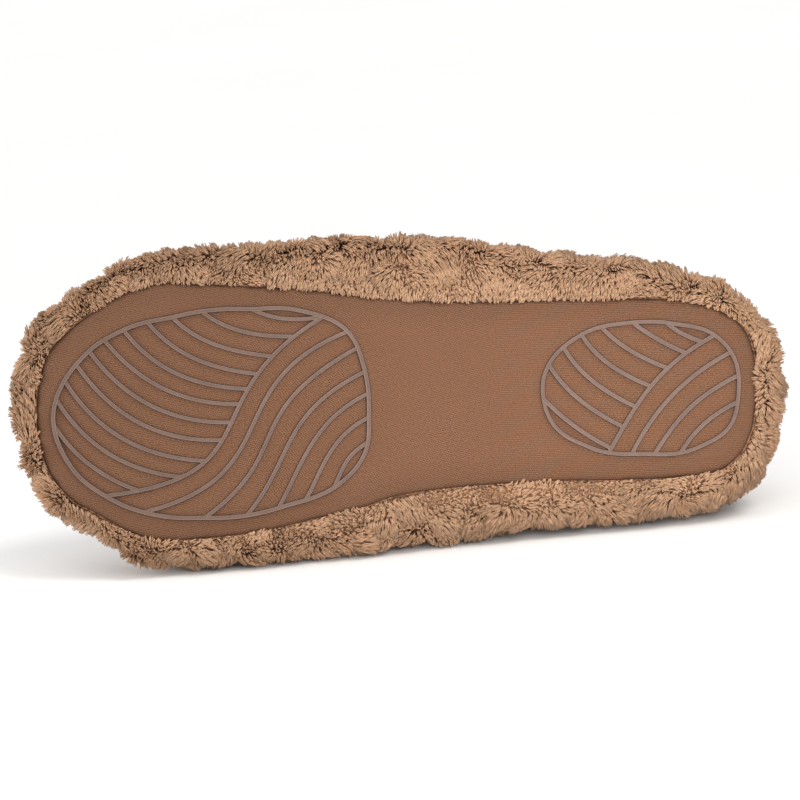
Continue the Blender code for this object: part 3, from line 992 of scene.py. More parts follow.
@dataclass(frozen=True)
class Sleeve:
    """Whole surface of the upper as a grid: up its outside, over the rim and down its inside.

    Fields:
        places: Rows of points, each a ring.
        normals: Directions out of the plush at them.
        levels: 0 to 2 on the outside, 2 to 3 over the rim, and 3 to 4 down the inside.
    """

    places: np.ndarray
    normals: np.ndarray
    levels: np.ndarray

    @classmethod
    def of_shape(cls, shape: UpperShape, columns: int, lower: int = 16, upper: int = 34,
                 rim: int = 9, inside: int = 22) -> "Sleeve":
        """Grid of an upper.

        Args:
            shape: Shape of the upper.
            columns: Points round the shoe.
            lower: Steps from the seam to the girth.
            upper: Steps from the girth to the collar.
            rim: Steps over the rim.
            inside: Steps down the inside.

        Returns:
            The grid.
        """
        levels = np.concatenate([np.linspace(0, 1, lower, endpoint=False),
                                 np.linspace(1, 2, upper + 1)])
        skin = shape.skin(levels, columns)
        round_shoe = np.roll(skin, -1, axis=1) - np.roll(skin, 1, axis=1)
        normals = unit(np.cross(round_shoe, np.gradient(skin, axis=0)))
        girth = int(np.argmin(abs(levels - 1)))
        if np.mean(normals[girth, :, :2] * outward(skin[girth, :, :2])) < 0:
            normals = -normals
        beyond = unit(skin[-1] - skin[-2])
        radius = 0.5 * shape.wall
        places, turned, steps = list(skin), list(normals), list(levels)
        for n in range(1, rim + 1):
            angle = math.pi * n / (rim + 1)
            direction = math.cos(angle) * normals[-1] + math.sin(angle) * beyond
            places.append(skin[-1] - radius * normals[-1] + radius * direction)
            turned.append(direction)
            steps.append(2 + n / (rim + 1))
        for n in range(inside + 1):
            place = (len(skin) - 1) - n / inside * (len(skin) - 1 - girth)
            low = min(int(place), len(skin) - 2)
            share = place - low
            normal = unit((1 - share) * normals[low] + share * normals[low + 1])
            point = (1 - share) * skin[low] + share * skin[low + 1]
            places.append(point - shape.wall * normal)
            turned.append(-normal)
            steps.append(3 + n / inside)
        return cls(np.array(places), np.array(turned), np.array(steps))

    def steps_down(self) -> np.ndarray:
        """Unit vectors along the surface towards the seam at the sole."""
        return -unit(np.gradient(self.places, axis=0))


# Sole


@dataclass(frozen=True)
class Board:
    """Flat closed piece of the sole's outline, fine enough to bend with it."""

    plan: SolePlan
    columns: int = 264
    across: int = 32
    sag_pitch: float = 0.021
    sag: float = 0.00010
    # what keeps the sag from looking regular: warps and shares of its pitch
    sag_warps: tuple[float, float] = (1.3, 1.7)
    sag_shares: tuple[float, float, float] = (0.6, 0.7, 0.4)
    crown_power: float = 0.5

    def sagging(self, points: np.ndarray) -> np.ndarray:
        """Slight unevenness of soft board over its plan.

        Args:
            points: Points in plan.

        Returns:
            One height for each point.
        """
        turn = 2 * math.pi * points / self.sag_pitch
        along, across = turn[..., 0], turn[..., 1]
        (first, second), (near, main, far) = self.sag_warps, self.sag_shares
        return self.sag * (np.sin(along + first * np.sin(near * across))
                           + np.sin(main * across + second * np.cos(far * along)))

    def build(self, name: str, levels: list[tuple[float, float]], crown: float,
              pose: LyingPose) -> bpy.types.Mesh:
        """Mesh between two faces, with the plan kept as its UV map in metres.

        Args:
            name: Name of the mesh.
            levels: Inset from the sole's edge and height over its underside, upwards.
            crown: How far the upper face swells in the middle.
            pose: Where the shoe lies.

        Returns:
            The mesh in the row frame.
        """
        edge = self.plan.ring(self.columns)
        away = outward(edge)
        half = self.columns // 2
        flat, heights, quads, fans = [], [], [], []
        for inset, height in levels:
            ring = edge - inset * away
            flat.append(ring)
            heights.append(np.full(self.columns, height))
        quads.append(ring_faces(len(levels), self.columns))
        count = len(levels) * self.columns
        shares = np.linspace(0, 1, self.across + 1)[1:-1]
        stations = np.arange(1, half)
        for first, swell in ((0, 0.0), ((len(levels) - 1) * self.columns, crown)):
            ring, height = flat[first // self.columns], heights[first // self.columns][0]
            near, far = ring[stations], ring[self.columns - stations]
            inner = near[:, None] + shares[None, :, None] * (far - near)[:, None]
            numbers = count + np.arange(inner.shape[0] * inner.shape[1]).reshape(inner.shape[:2])
            dome = np.sin(math.pi * shares)[None, :] * np.sin(math.pi * stations / half)[:, None]
            flat.append(inner.reshape(-1, 2))
            heights.append((height + swell * dome ** self.crown_power).reshape(-1))
            count += numbers.size
            grid = np.column_stack([first + stations, numbers, first + self.columns - stations])
            quads.append(np.stack([grid[:-1, :-1], grid[1:, :-1], grid[1:, 1:], grid[:-1, 1:]],
                                  axis=-1).reshape(-1, 4))
            for row, tip in ((grid[0], first), (grid[-1], first + half)):
                fans.append(np.column_stack([np.full(len(row) - 1, tip), row[:-1], row[1:]]))
        plan = np.vstack(flat)
        height = self.plan.lift(plan[:, 0]) + np.concatenate(heights) + self.sagging(plan)
        mesh = make_mesh(name, pose.place(np.column_stack([plan, height])),
                         np.vstack(quads), np.vstack(fans))
        turn_faces_out(mesh)
        layer = mesh.uv_layers.new(name="plan")
        corners = np.zeros(len(mesh.loops), dtype=np.int32)
        mesh.loops.foreach_get("vertex_index", corners)
        layer.data.foreach_set("uv", plan[corners].astype(np.float32).reshape(-1))
        return mesh


@dataclass(frozen=True)
class Sole:
    """Outsole with its textile face, and the footbed on it."""

    plan: SolePlan
    pose: LyingPose
    outsole_thickness: float = 0.004
    edge_round: float = 0.002
    edge_steps: int = 7
    # painted shadow line at the sole's very edge, where the plush overhangs it, and painted shade
    # over the band towards the edge
    seam_shadow_reach: float = 0.0005
    seam_shadow: float = 1.2
    edge_shade: float = 0.17
    edge_sweep: float = 0.0013
    edge_insets: tuple[float, ...] = (0.0105, 0.0078, 0.0055, 0.0038, 0.0026)
    insole_thickness: float = 0.0035
    insole_round: float = 0.001
    insole_angles: tuple[float, ...] = (0.0, 30.0, 60.0, 90.0)
    insole_crown: float = 0.0008
    clearance: float = 0.0003
    fill: float = 0.35

    def swept(self, inset: float) -> float:
        """How far the soft underside has risen at an inset from the sole's edge."""
        return self.edge_sweep * (1 - inset / self.edge_insets[0]) ** 2

    def build(self) -> None:
        """Make and dress both pieces."""
        levels = [(inset, self.swept(inset)) for inset in self.edge_insets]
        for step in range(self.edge_steps + 1):
            angle = 0.5 * math.pi * step / self.edge_steps
            inset = self.edge_round * (1 - math.sin(angle))
            levels.append((inset, self.swept(inset) + self.edge_round * (1 - math.cos(angle))))
        levels.append((0.0, self.outsole_thickness))
        board = Board(self.plan)
        mesh = board.build("outsole_cover", levels, 0.0, self.pose)
        # edge holds painted shade, darker towards the sole's edge and darkest in a painted shadow
        # line right at it
        edge = np.zeros(len(mesh.vertices))
        insets = np.array([inset for inset, _ in levels])
        shade = self.edge_shade * (1 - insets / self.edge_insets[0])
        shade = np.maximum(shade, np.clip(self.seam_shadow - insets / self.seam_shadow_reach, 0, 1))
        edge[:board.columns * len(levels)] = np.repeat(shade, board.columns)
        add_values(mesh, "edge", edge)
        place_piece("outsole_cover", mesh, WovenFinish().material(), ("outsole",))

        low = self.outsole_thickness + self.clearance
        top = low + self.insole_thickness
        levels = [(0.0, low)]
        for angle in self.insole_angles:
            turn = math.radians(angle)
            levels.append((self.insole_round * (1 - math.cos(turn)),
                           top - self.insole_round * (1 - math.sin(turn))))
        mesh = board.build("footbed", levels, self.insole_crown, self.pose)
        piece = place_piece("footbed", mesh, FleeceFinish().material(), ("insole",))


@dataclass(frozen=True)
class GripLines:
    """Lines of one grip, in shares of its reach from its centre.

    Bearings are in degrees from the toe towards the outer side.
    """

    name: str
    centre: tuple[float, float]
    reach: tuple[float, float]
    # bearing, reach
    rim: Table
    # start and end bearing, start and end heading, start and end pull
    spine: tuple[float, ...]
    # rim bearing, share of the spine, bow, share by which the bow sits towards the rim
    front_ribs: Table
    # as the spine
    rear_ribs: Table
    rim_width: float
    rib_width: float

    def rim_place(self, bearing: float) -> np.ndarray:
        """Point of the rim.

        Args:
            bearing: Where it is on the rim.

        Returns:
            The point.
        """
        rows = ([(b - 360, r) for b, r in self.rim[-3:]] + list(self.rim)
                + [(b + 360, r) for b, r in self.rim[:3]])
        reach = float(smooth_read(tuple(rows), 1, np.array([bearing % 360]))[0])
        angle = math.radians(bearing)
        return np.array((reach * math.cos(angle), reach * math.sin(angle)))

    def across(self, row: tuple[float, ...], steps: int) -> np.ndarray:
        """Curve from rim to rim.

        Args:
            row: Start and end bearing, start and end heading, start and end pull.
            steps: Steps along it.

        Returns:
            Points of the curve.
        """
        start, end = self.rim_place(row[0]), self.rim_place(row[1])
        length = np.linalg.norm(end - start)
        leave, arrive = (pull * length * np.array((math.cos(math.radians(heading)),
                                                   math.sin(math.radians(heading))))
                         for heading, pull in zip(row[2:4], row[4:6]))
        t = np.linspace(0, 1, steps + 1)[:, None]
        return bezier(start, start + leave, end - arrive, end, t)

    def bowed(self, start: np.ndarray, end: np.ndarray, bow: float, lean: float,
              steps: int) -> np.ndarray:
        """Arc between two points that bows towards the toe and the inner side.

        Args:
            start: First point.
            end: Last point.
            bow: Height of the bow as a share of the distance.
            lean: Share by which the bow sits towards the start.
            steps: Steps along it.

        Returns:
            Points of the arc.
        """
        chord = end - start
        side = np.array((-chord[1], chord[0]))
        if side[0] - side[1] < 0:
            side = -side
        t = np.linspace(0, 1, steps + 1)[:, None]
        return start + t * chord + 4 * bow * t * (1 - t) * (1 + lean * (1 - 2 * t)) * side

    def paths(self, rim_steps: int, steps: int) -> tuple[np.ndarray, np.ndarray, list[np.ndarray]]:
        """Rim, spine and ribs.

        Args:
            rim_steps: Steps round the rim.
            steps: Steps along the spine and each rib.

        Returns:
            Points of each line.
        """
        rim = np.array([self.rim_place(360 * k / rim_steps) for k in range(rim_steps)])
        spine = self.across(self.spine, steps)
        ribs = []
        for bearing, share, bow, lean in self.front_ribs:
            foot = spread(spine, np.array([share]))[0]
            ribs.append(self.bowed(self.rim_place(bearing), foot, bow, lean, steps))
        ribs += [self.across(row, steps) for row in self.rear_ribs]
        return rim, spine, ribs


FOREFOOT_GRIP = GripLines(
    name="forefoot_grip",
    centre=(0.755, -0.035),
    reach=(0.2194, 0.6154),
    rim=((2, 0.999), (28, 0.87), (46, 0.759), (72, 0.649), (110, 0.691), (132, 0.852),
         (150, 1.002), (166, 1.006), (182, 0.995), (196, 1.001), (210, 0.923), (234, 0.737),
         (270, 0.653), (295, 0.704), (321, 0.827), (340, 0.943)),
    spine=(141, -36.2, -29.3, -5.1, 0.56, 0.62),
    front_ribs=(
        (113.5, 0.000, 0.085, 0.15), (86.7, 0.117, 0.089, 0.20), (70.0, 0.217, 0.089, 0.24),
        (57.1, 0.293, 0.105, 0.15), (45.5, 0.353, 0.120, 0.09), (36.3, 0.410, 0.123, -0.01),
        (28.9, 0.478, 0.131, -0.01), (21.7, 0.544, 0.138, -0.04), (14.4, 0.634, 0.132, 0.03),
        (7.0, 0.732, 0.124, 0.01), (-2.3, 0.885, 0.088, 0.04),
    ),
    rear_ribs=(
        (150.8, -54.1, -19.9, -12.3, 0.52, 0.56), (157.5, -85.2, -27.2, -33.8, 0.60, 0.49),
        (166.4, -108.1, -24.7, -48.5, 0.51, 0.40), (174.3, -124.3, -24.4, -59.3, 0.43, 0.34),
        (183.0, -135.9, -23.1, -52.8, 0.44, 0.22), (191.8, -147.2, -31.4, -60.5, 0.52, 0.45),
    ),
    rim_width=0.0016,
    rib_width=0.0015,
)
HEEL_GRIP = GripLines(
    name="heel_grip",
    centre=(0.163, 0.013),
    reach=(0.1363, 0.3824),
    rim=((2, 0.984), (17, 0.951), (43, 0.81), (81, 0.674), (119, 0.737), (145, 0.919),
         (164, 0.999), (185, 0.995), (205, 0.98), (227, 0.832), (269, 0.659), (313, 0.783),
         (338, 0.942)),
    spine=(146, -62.2, -26.5, -58.8, 0.42, 0.36),
    front_ribs=(
        (113.0, 0.085, 0.050, 0.10), (85.2, 0.210, 0.033, 0.17), (59.5, 0.357, 0.060, 0.20),
        (44.3, 0.511, 0.082, 0.23), (30.1, 0.669, 0.079, 0.18), (16.5, 0.816, 0.074, 0.19),
        (-4.3, 0.968, 0.045, 0.02),
    ),
    rear_ribs=(
        (159.7, -81.1, -26.2, -62.0, 0.31, 0.41), (173.9, -100.6, -24.9, -56.1, 0.41, 0.40),
        (189.4, -120.5, -23.9, -57.4, 0.32, 0.40),
    ),
    rim_width=0.0015,
    rib_width=0.0016,
)


@dataclass(frozen=True)
class Grip:
    """Raised print under the sole: a rim with a spine and ribs, their edges rounded."""

    plan: SolePlan
    pose: LyingPose
    lines: GripLines
    height: float = 0.0011
    rim_steps: int = 130
    rib_steps: int = 30
    # step in height between lines that cross, and number of heights that the ribs have
    level_step: float = 0.00004
    rib_levels: int = 3
    sharp_angle: float = 50.0
    # section from one side to the other: place as a share of the width, height as a share
    section: Table = ((-0.62, -0.27), (-0.61, 0.05), (-0.52, 0.08), (-0.48, 0.65), (-0.40, 1.00),
                      (-0.27, 0.91), (0.0, 0.84), (0.27, 0.91), (0.40, 1.00), (0.48, 0.65),
                      (0.52, 0.08), (0.61, 0.05), (0.62, -0.27))

    def bar(self, path: np.ndarray, width: float, height: float, closed: bool,
            first: int) -> tuple[np.ndarray, list[np.ndarray]]:
        """One bar of the print.

        Args:
            path: Its line in plan.
            width: Its width.
            height: Its height over the textile.
            closed: Whether the line joins its own start.
            first: Number of its first vertex.

        Returns:
            Its vertices, and its faces by their number of corners.
        """
        if closed:
            away = outward(path)
        else:
            along = unit(np.gradient(path, axis=0))
            away = np.column_stack([-along[:, 1], along[:, 0]])
        section = np.array(self.section)
        flat = path[:, None] + width * section[None, :, :1] * away[:, None]
        depth = -height * section[None, :, 1] * np.ones((len(path), 1))
        up = self.plan.lift(flat[..., 0]) + Board(self.plan).sagging(flat) + depth
        points = np.concatenate([flat, up[..., None]], axis=-1).reshape(-1, 3)
        faces = [first + ring_faces(len(path), len(section), closed)]
        if not closed:
            start = first + np.arange(len(section))
            end = start + (len(path) - 1) * len(section)
            faces += [start[None, :], end[None, :]]
        return points, faces

    def build(self) -> None:
        """Make and dress the grip."""
        size = np.array((self.plan.length, self.plan.ball_width))
        centre, scale = np.array(self.lines.centre) * size, np.array(self.lines.reach) * size
        rim, spine, ribs = self.lines.paths(self.rim_steps, self.rib_steps)
        bars = [(rim, self.lines.rim_width, self.height, True),
                (spine, self.lines.rib_width, self.height - self.level_step, False)]
        for n, rib in enumerate(ribs):
            height = self.height - (2 + n % self.rib_levels) * self.level_step
            bars.append((rib, self.lines.rib_width, height, False))
        points, quads, caps = [], [], []
        count = 0
        for path, width, height, closed in bars:
            part, faces = self.bar(centre + path * scale, width, height, closed, count)
            points.append(part)
            quads.append(faces[0])
            caps += faces[1:]
            count += len(part)
        mesh = make_mesh(self.lines.name, self.pose.place(np.vstack(points)), np.vstack(quads),
                         np.vstack(caps))
        turn_faces_out(mesh)
        mesh.set_sharp_from_angle(angle=math.radians(self.sharp_angle))
        rises = np.tile([row[1] for row in self.section], count // len(self.section))
        add_values(mesh, "rise", rises)
        place_piece(self.lines.name + "_print", mesh, PrintFinish().material(),
                    (self.lines.name,))


@dataclass(frozen=True)
class EdgeCord:
    """Thin twisted cord in the seam between the sole's edge and the plush."""

    plan: SolePlan
    pose: LyingPose
    columns: int = 860
    sides: int = 6
    radius: float = 0.00045
    out: float = 0.00015
    height: float = 0.0026
    twist_pitch: float = 0.0021
    plies: int = 2
    ply_depth: float = 0.16

    def build(self) -> None:
        """Make and dress the cord."""
        edge = self.plan.ring(self.columns)
        away = outward(edge)
        lengths = np.linalg.norm(np.roll(edge, -1, axis=0) - edge, axis=1)
        travelled = np.concatenate(([0.0], np.cumsum(lengths)[:-1]))
        turns = round(lengths.sum() / self.twist_pitch)
        phase = 2 * math.pi * turns * travelled / lengths.sum()
        angle = 2 * math.pi * np.arange(self.sides) / self.sides
        ply = np.cos(self.plies * (angle[None, :] - phase[:, None]))
        radius = self.radius * (1 + self.ply_depth * ply)
        out = self.out + radius * np.cos(angle)
        up = self.height + radius * np.sin(angle)
        flat = edge[:, None] + out[..., None] * away[:, None]
        height = self.plan.lift(edge[:, 0])[:, None] + up
        points = np.concatenate([flat, height[..., None]], axis=-1).reshape(-1, 3)
        mesh = make_mesh("edge_cord", self.pose.place(points),
                         ring_faces(self.columns, self.sides, True))
        turn_faces_out(mesh)
        place_piece("edge_cord", mesh, CordFinish().material())


# Upper


@dataclass(frozen=True)
class Locks:
    """Soft locks of the plush: each leans and fans its own way and swells in its middle."""

    places: np.ndarray
    normals: np.ndarray
    leans: np.ndarray
    fans: np.ndarray
    heights: np.ndarray
    tones: np.ndarray
    softness: float = 0.0033
    # what chance draws from: share of the lean, fan, share of the height, tone
    lean_range: tuple[float, float] = (0.3, 1.3)
    fan_range: tuple[float, float] = (-0.2, 1.1)
    height_range: tuple[float, float] = (0.85, 1.15)
    tone_range: tuple[float, float] = (0.25, 0.95)

    @classmethod
    def over(cls, sleeve: Sleeve, down: np.ndarray, spacing: float, lean: float,
             chance: np.random.Generator) -> "Locks":
        """Locks spread over the upper.

        Args:
            sleeve: Surface of the upper.
            down: Directions along it towards the sole.
            spacing: Least distance between the middles of two locks.
            lean: How far a lock leans, as a slope.
            chance: Source of chance.

        Returns:
            The locks.
        """
        points = sleeve.places.reshape(-1, 3)
        normals = sleeve.normals.reshape(-1, 3)
        nap = down.reshape(-1, 3)
        kept: list[int] = []
        for n in chance.permutation(len(points)):
            if not kept:
                kept.append(n)
                continue
            gaps = np.linalg.norm(points[kept] - points[n], axis=1)
            facing = normals[kept] @ normals[n] > 0
            if not np.any((gaps < spacing) & facing):
                kept.append(n)
        count = len(kept)
        side = np.cross(normals[kept], nap[kept])
        turn = chance.uniform(0, 2 * math.pi, count)[:, None]
        slope = (lean * chance.uniform(*cls.lean_range, count))[:, None]
        leans = slope * (np.cos(turn) * nap[kept] + np.sin(turn) * side)
        return cls(points[kept], normals[kept], leans, chance.uniform(*cls.fan_range, count),
                   chance.uniform(*cls.height_range, count),
                   chance.uniform(*cls.tone_range, count))

    def read(self, points: np.ndarray, normals: np.ndarray,
             chunk: int = 4000) -> tuple[np.ndarray, np.ndarray, np.ndarray, np.ndarray]:
        """What the locks do at points of the upper.

        Args:
            points: Points of the upper.
            normals: Directions out of the plush at them.
            chunk: Points that are worked out at once.

        Returns:
            The lean as a vector, the height as a share, how far into a lock each point is from
            0 at its edge to 1 in its middle, and the tone.
        """
        leans, heights, depths, tones = [], [], [], []
        for start in range(0, len(points), chunk):
            place, normal = points[start:start + chunk], normals[start:start + chunk]
            offset = place[:, None] - self.places[None]
            gap = np.einsum("pqk,pqk->pq", offset, offset)
            gap = np.where(normal @ self.normals.T > 0, gap, OUT_OF_REACH)
            weight = np.exp(-(gap - gap.min(axis=1, keepdims=True)) / (2 * self.softness ** 2))
            weight /= weight.sum(axis=1, keepdims=True)
            fan = np.einsum("pq,pqk->pk", weight * self.fans[None], offset) / (2 * self.softness)
            leans.append(weight @ self.leans + fan)
            heights.append(weight @ self.heights)
            depths.append(np.clip(2 * weight.max(axis=1) - 1, 0, 1))
            tones.append(weight @ self.tones)
        return (np.vstack(leans), np.concatenate(heights), np.concatenate(depths),
                np.concatenate(tones))


# a hair's corners are its root, three round its knee and two at its tip
KNEE_TURNS = (0.0, 120.0, 240.0)
TIP_TURNS = (1.0, -1.0)
HAIR_CORNERS = 1 + len(KNEE_TURNS) + len(TIP_TURNS)
HAIR_FACES = ((0, 2, 1), (0, 3, 2), (0, 1, 3), (1, 2, 4), (2, 5, 4), (2, 3, 5), (3, 4, 5),
              (3, 1, 4))


@dataclass(frozen=True)
class PlushArea:
    """Part of the upper whose hairs are one piece.

    Fields:
        name: Name of the piece.
        levels: Lowest and highest level on the sleeve.
        around: Start and end as shares of the way round, from the heel over the outer side.
    """

    name: str
    levels: tuple[float, float]
    around: tuple[float, float]


@dataclass(frozen=True)
class Upper:
    """Plush upper: a lumpy knitted backing, a fleecy lining and the hairs that stand on them."""

    pose: LyingPose
    shape: UpperShape
    columns: int = 330
    seed: int = 7
    lock_spacing: float = 0.0078
    lock_lean: float = 0.95
    lump: float = 0.0012
    # depth of the pile from which the lumps have their full height
    lump_pile: float = 0.004
    # level on the sleeve, depth of the pile, hairs on a square millimetre, width of a hair,
    # slope by which it leans towards the sole
    pile: Table = (
        (0.00, 0.0022, 4.8, 0.00047, 0.6),
        (0.15, 0.0026, 4.6, 0.00047, 0.9),
        (0.35, 0.0034, 4.2, 0.00048, 0.9),
        (0.65, 0.0042, 3.8, 0.00049, 0.4),
        (1.00, 0.0044, 3.2, 0.00052, -0.15),
        (1.22, 0.0042, 1.75, 0.00075, -0.2),
        (1.80, 0.0040, 1.38, 0.00081, 0.3),
        (2.00, 0.0030, 1.42, 0.00073, 0.3),
        (2.50, 0.0024, 1.22, 0.00067, 0.0),
        (3.00, 0.0018, 1.1, 0.00062, 0.0),
        (3.30, 0.0014, 0.7, 0.00060, 0.0),
        (3.34, 0.0012, 0.0, 0.00060, 0.0),
        (4.00, 0.0010, 0.0, 0.00060, 0.0),
    )
    areas: tuple[PlushArea, ...] = (
        PlushArea("plush_sole_edge_outer", (0.0, 1.1), (0.0, 0.36)),
        PlushArea("plush_sole_edge_toe", (0.0, 1.1), (0.36, 0.64)),
        PlushArea("plush_sole_edge_inner", (0.0, 1.1), (0.64, 1.0)),
        PlushArea("plush_outer_side", (1.1, 2.0), (0.0, 0.30)),
        PlushArea("plush_vamp", (1.1, 2.0), (0.30, 0.70)),
        PlushArea("plush_inner_side", (1.1, 2.0), (0.70, 1.0)),
        PlushArea("plush_collar", (2.0, 4.0), (0.0, 1.0)),
    )
    # levels between which the plush gives way to the lining
    lining: tuple[float, float] = (2.95, 3.15)
    # places round the sole where the plush is parted and the seam shows, and their reach
    partings: Table = ((0.53, 0.018), (0.965, 0.016))
    # share of the way round, share of the slope towards the sole
    combing: Table = ((0.0, 0.2), (0.05, 0.4), (0.12, 1.0), (0.40, 1.0), (0.45, 0.3),
                      (0.60, 0.2), (0.68, -0.3), (0.88, -0.3), (0.95, 0.1), (1.0, 0.2))
    # share of the way round, how far it belongs to the toe or the heel, where the pile is longer
    ends: Table = ((0.0, 1.0), (0.06, 0.9), (0.12, 0.0), (0.38, 0.0), (0.44, 1.0), (0.56, 1.0),
                   (0.62, 0.0), (0.88, 0.0), (0.94, 0.9), (1.0, 1.0))
    end_share: float = 0.30
    # level on the sleeve, share of the locks' lean
    leaning: Table = ((1.0, 1.0), (1.3, 0.6))
    # highest level of the hairs that are combed over the sole's edge
    fringe_level: float = 0.45
    floor_gap: float = 0.0003
    floor_spread: float = 0.0009
    # how deep a root stands as a share of the pile, and how much less in a lock's middle
    root_depth: float = 1.05
    root_swell: float = 0.2
    # how far the lower part of a hair follows its lean, and strays
    start_lean: float = 0.4
    start_stray: float = 0.08
    # how far the upper part stands up, strays and is combed
    end_rise: float = 0.5
    end_stray: float = 0.12
    end_comb: float = 0.3
    # height of a hair as a share of the pile, and how much more in a lock's middle
    stand_share: float = 0.92
    stand_swell: float = 0.30
    stand_range: tuple[float, float] = (0.80, 1.08)
    # least slope that a height is turned into a length with, and limits of that length as
    # shares of the pile
    least_rise: float = 0.45
    length_range: tuple[float, float] = (0.5, 2.0)
    width_range: tuple[float, float] = (0.8, 1.2)
    # share of a hair's own tone beside its lock's
    tone_chance: float = 0.45
    # share of a hair's length below its knee, and width of its tip as a share of its own
    knee: float = 0.55
    blunt: float = 0.6
    # hairs in a wisp, how far their knees, tips and tones draw together, and how much of the
    # distance between them their knees and tips keep
    wisp_size: int = 6
    knee_draw: float = 0.35
    tip_draw: float = 0.60
    tone_draw: float = 0.5
    knee_keep: float = 0.7
    tip_keep: float = 0.35

    def build(self) -> None:
        """Make and dress the backing and all hairs."""
        chance = np.random.default_rng(self.seed)
        sleeve = Sleeve.of_shape(self.shape, self.columns)
        down = sleeve.steps_down()
        locks = Locks.over(sleeve, down, self.lock_spacing, self.lock_lean, chance)
        LOG.info("%d locks", len(locks.places))
        self.build_backing(sleeve, locks)
        self.build_hairs(sleeve, down, locks, chance)

    def build_backing(self, sleeve: Sleeve, locks: Locks) -> None:
        """Make the closed shell that the hairs stand on.

        Args:
            sleeve: Surface of the upper.
            locks: Locks of the plush, which it swells under.
        """
        rows, columns = sleeve.places.shape[:2]
        depth = smooth_read(self.pile, 1, sleeve.levels)[:, None]
        _, _, swell, _ = locks.read(sleeve.places.reshape(-1, 3), sleeve.normals.reshape(-1, 3))
        swell = swell.reshape(rows, columns)
        lump = self.lump * np.minimum(1, depth / self.lump_pile) * (swell - 0.5)
        shell = sleeve.places - (depth - lump)[..., None] * sleeve.normals
        points = self.pose.place(shell.reshape(-1, 3))
        points[:, 2] = np.maximum(points[:, 2], self.floor_gap + self.floor_spread)
        mesh = make_mesh("upper_backing", points, ring_faces(rows, columns, True))
        turn_faces_out(mesh)
        inside = np.interp(sleeve.levels, self.lining, (0, 1))
        add_values(mesh, "inside", np.repeat(inside, columns))
        place_piece("upper_backing", mesh, BackingFinish().material(), ("upper",))

    def build_hairs(self, sleeve: Sleeve, down: np.ndarray, locks: Locks,
                    chance: np.random.Generator) -> None:
        """Make the hairs, one piece for each area.

        Args:
            sleeve: Surface of the upper.
            down: Directions along it towards the sole.
            locks: Locks of the plush.
            chance: Source of chance.
        """
        places = np.concatenate([sleeve.places, sleeve.places[:, :1]], axis=1)
        normals = np.concatenate([sleeve.normals, sleeve.normals[:, :1]], axis=1)
        nap = np.concatenate([down, down[:, :1]], axis=1)
        first, second = places[1:, 1:] - places[:-1, :-1], places[1:, :-1] - places[:-1, 1:]
        area = 0.5 * np.linalg.norm(np.cross(first, second), axis=2) * SQUARE_MILLIMETRES
        middle = 0.5 * (sleeve.levels[1:] + sleeve.levels[:-1])
        middle[-1] = sleeve.levels[-1]
        number = area * straight_read(self.pile, 2, middle)[:, None]
        count = int(number.sum())
        cells = chance.choice(number.size, count, p=(number / number.sum()).reshape(-1))
        row, column = np.divmod(cells, number.shape[1])
        up, on = chance.random(count), chance.random(count)

        def at(grid: np.ndarray) -> np.ndarray:
            """Values of a grid where the hairs stand."""
            return ((1 - up) * (1 - on) * grid[row, column].T + (1 - up) * on
                    * grid[row, column + 1].T + up * (1 - on) * grid[row + 1, column].T
                    + up * on * grid[row + 1, column + 1].T).T

        level = (1 - up) * sleeve.levels[row] + up * sleeve.levels[row + 1]
        around = (column + on) / self.columns
        place, normal, nap = at(places), unit(at(normals)), unit(at(nap))
        depth = smooth_read(self.pile, 1, level)
        width = smooth_read(self.pile, 3, level) * chance.uniform(*self.width_range, count)
        lean, height, swell, tone = locks.read(place, normal)
        lean = lean * straight_read(self.leaning, 1, level)[:, None]
        fringe = self.fringe(level, around)
        slope = smooth_read(self.pile, 4, level) * straight_read(self.combing, 1, around)
        lean = lean + slope[:, None] * nap
        root = place - (depth * (self.root_depth - self.root_swell * swell))[:, None] * normal
        jitter = chance.normal(0, 1, (2, count, 3))
        start = unit(normal + (1 - fringe[:, None]) * self.start_lean * lean
                     + self.start_stray * jitter[0])
        end = unit(self.end_rise * normal + lean + self.end_stray * jitter[1]
                   + self.end_comb * fringe[:, None] * nap)
        rise = (self.knee * np.sum(start * normal, axis=1)
                + (1 - self.knee) * np.sum(end * normal, axis=1))
        stand = (depth * height * (self.stand_share + self.stand_swell * swell)
                 * chance.uniform(*self.stand_range, count))
        stand *= 1 + self.end_share * straight_read(self.ends, 1, around)
        shortest, longest = self.length_range
        length = np.clip(stand / np.clip(rise, self.least_rise, None), shortest * depth,
                         longest * depth)
        knee = root + (self.knee * length)[:, None] * start
        tip = knee + ((1 - self.knee) * length)[:, None] * end
        tone = np.clip((1 - self.tone_chance) * tone + self.tone_chance * chance.random(count),
                       0, 1)
        knee, tip, tone = self.gather(root, knee, tip, tone, chance)
        for part in self.areas:
            chosen = np.flatnonzero((level >= part.levels[0]) & (level < part.levels[1])
                                    & (around >= part.around[0]) & (around < part.around[1]))
            self.plant(part.name, root[chosen], knee[chosen], tip[chosen], width[chosen],
                       tone[chosen], chance)

    def fringe(self, level: np.ndarray, around: np.ndarray) -> np.ndarray:
        """How far the lowest hairs are combed over the sole's edge, from 0 to 1.

        Args:
            level: Levels of the hairs.
            around: Their shares of the way round.

        Returns:
            One share for each hair.
        """
        comb = np.clip(straight_read(self.combing, 1, around), 0, 1)
        for place, reach in self.partings:
            comb = comb * np.clip((abs(around - place) / reach) ** 2, 0, 1)
        return comb * np.clip(1 - level / self.fringe_level, 0, 1)

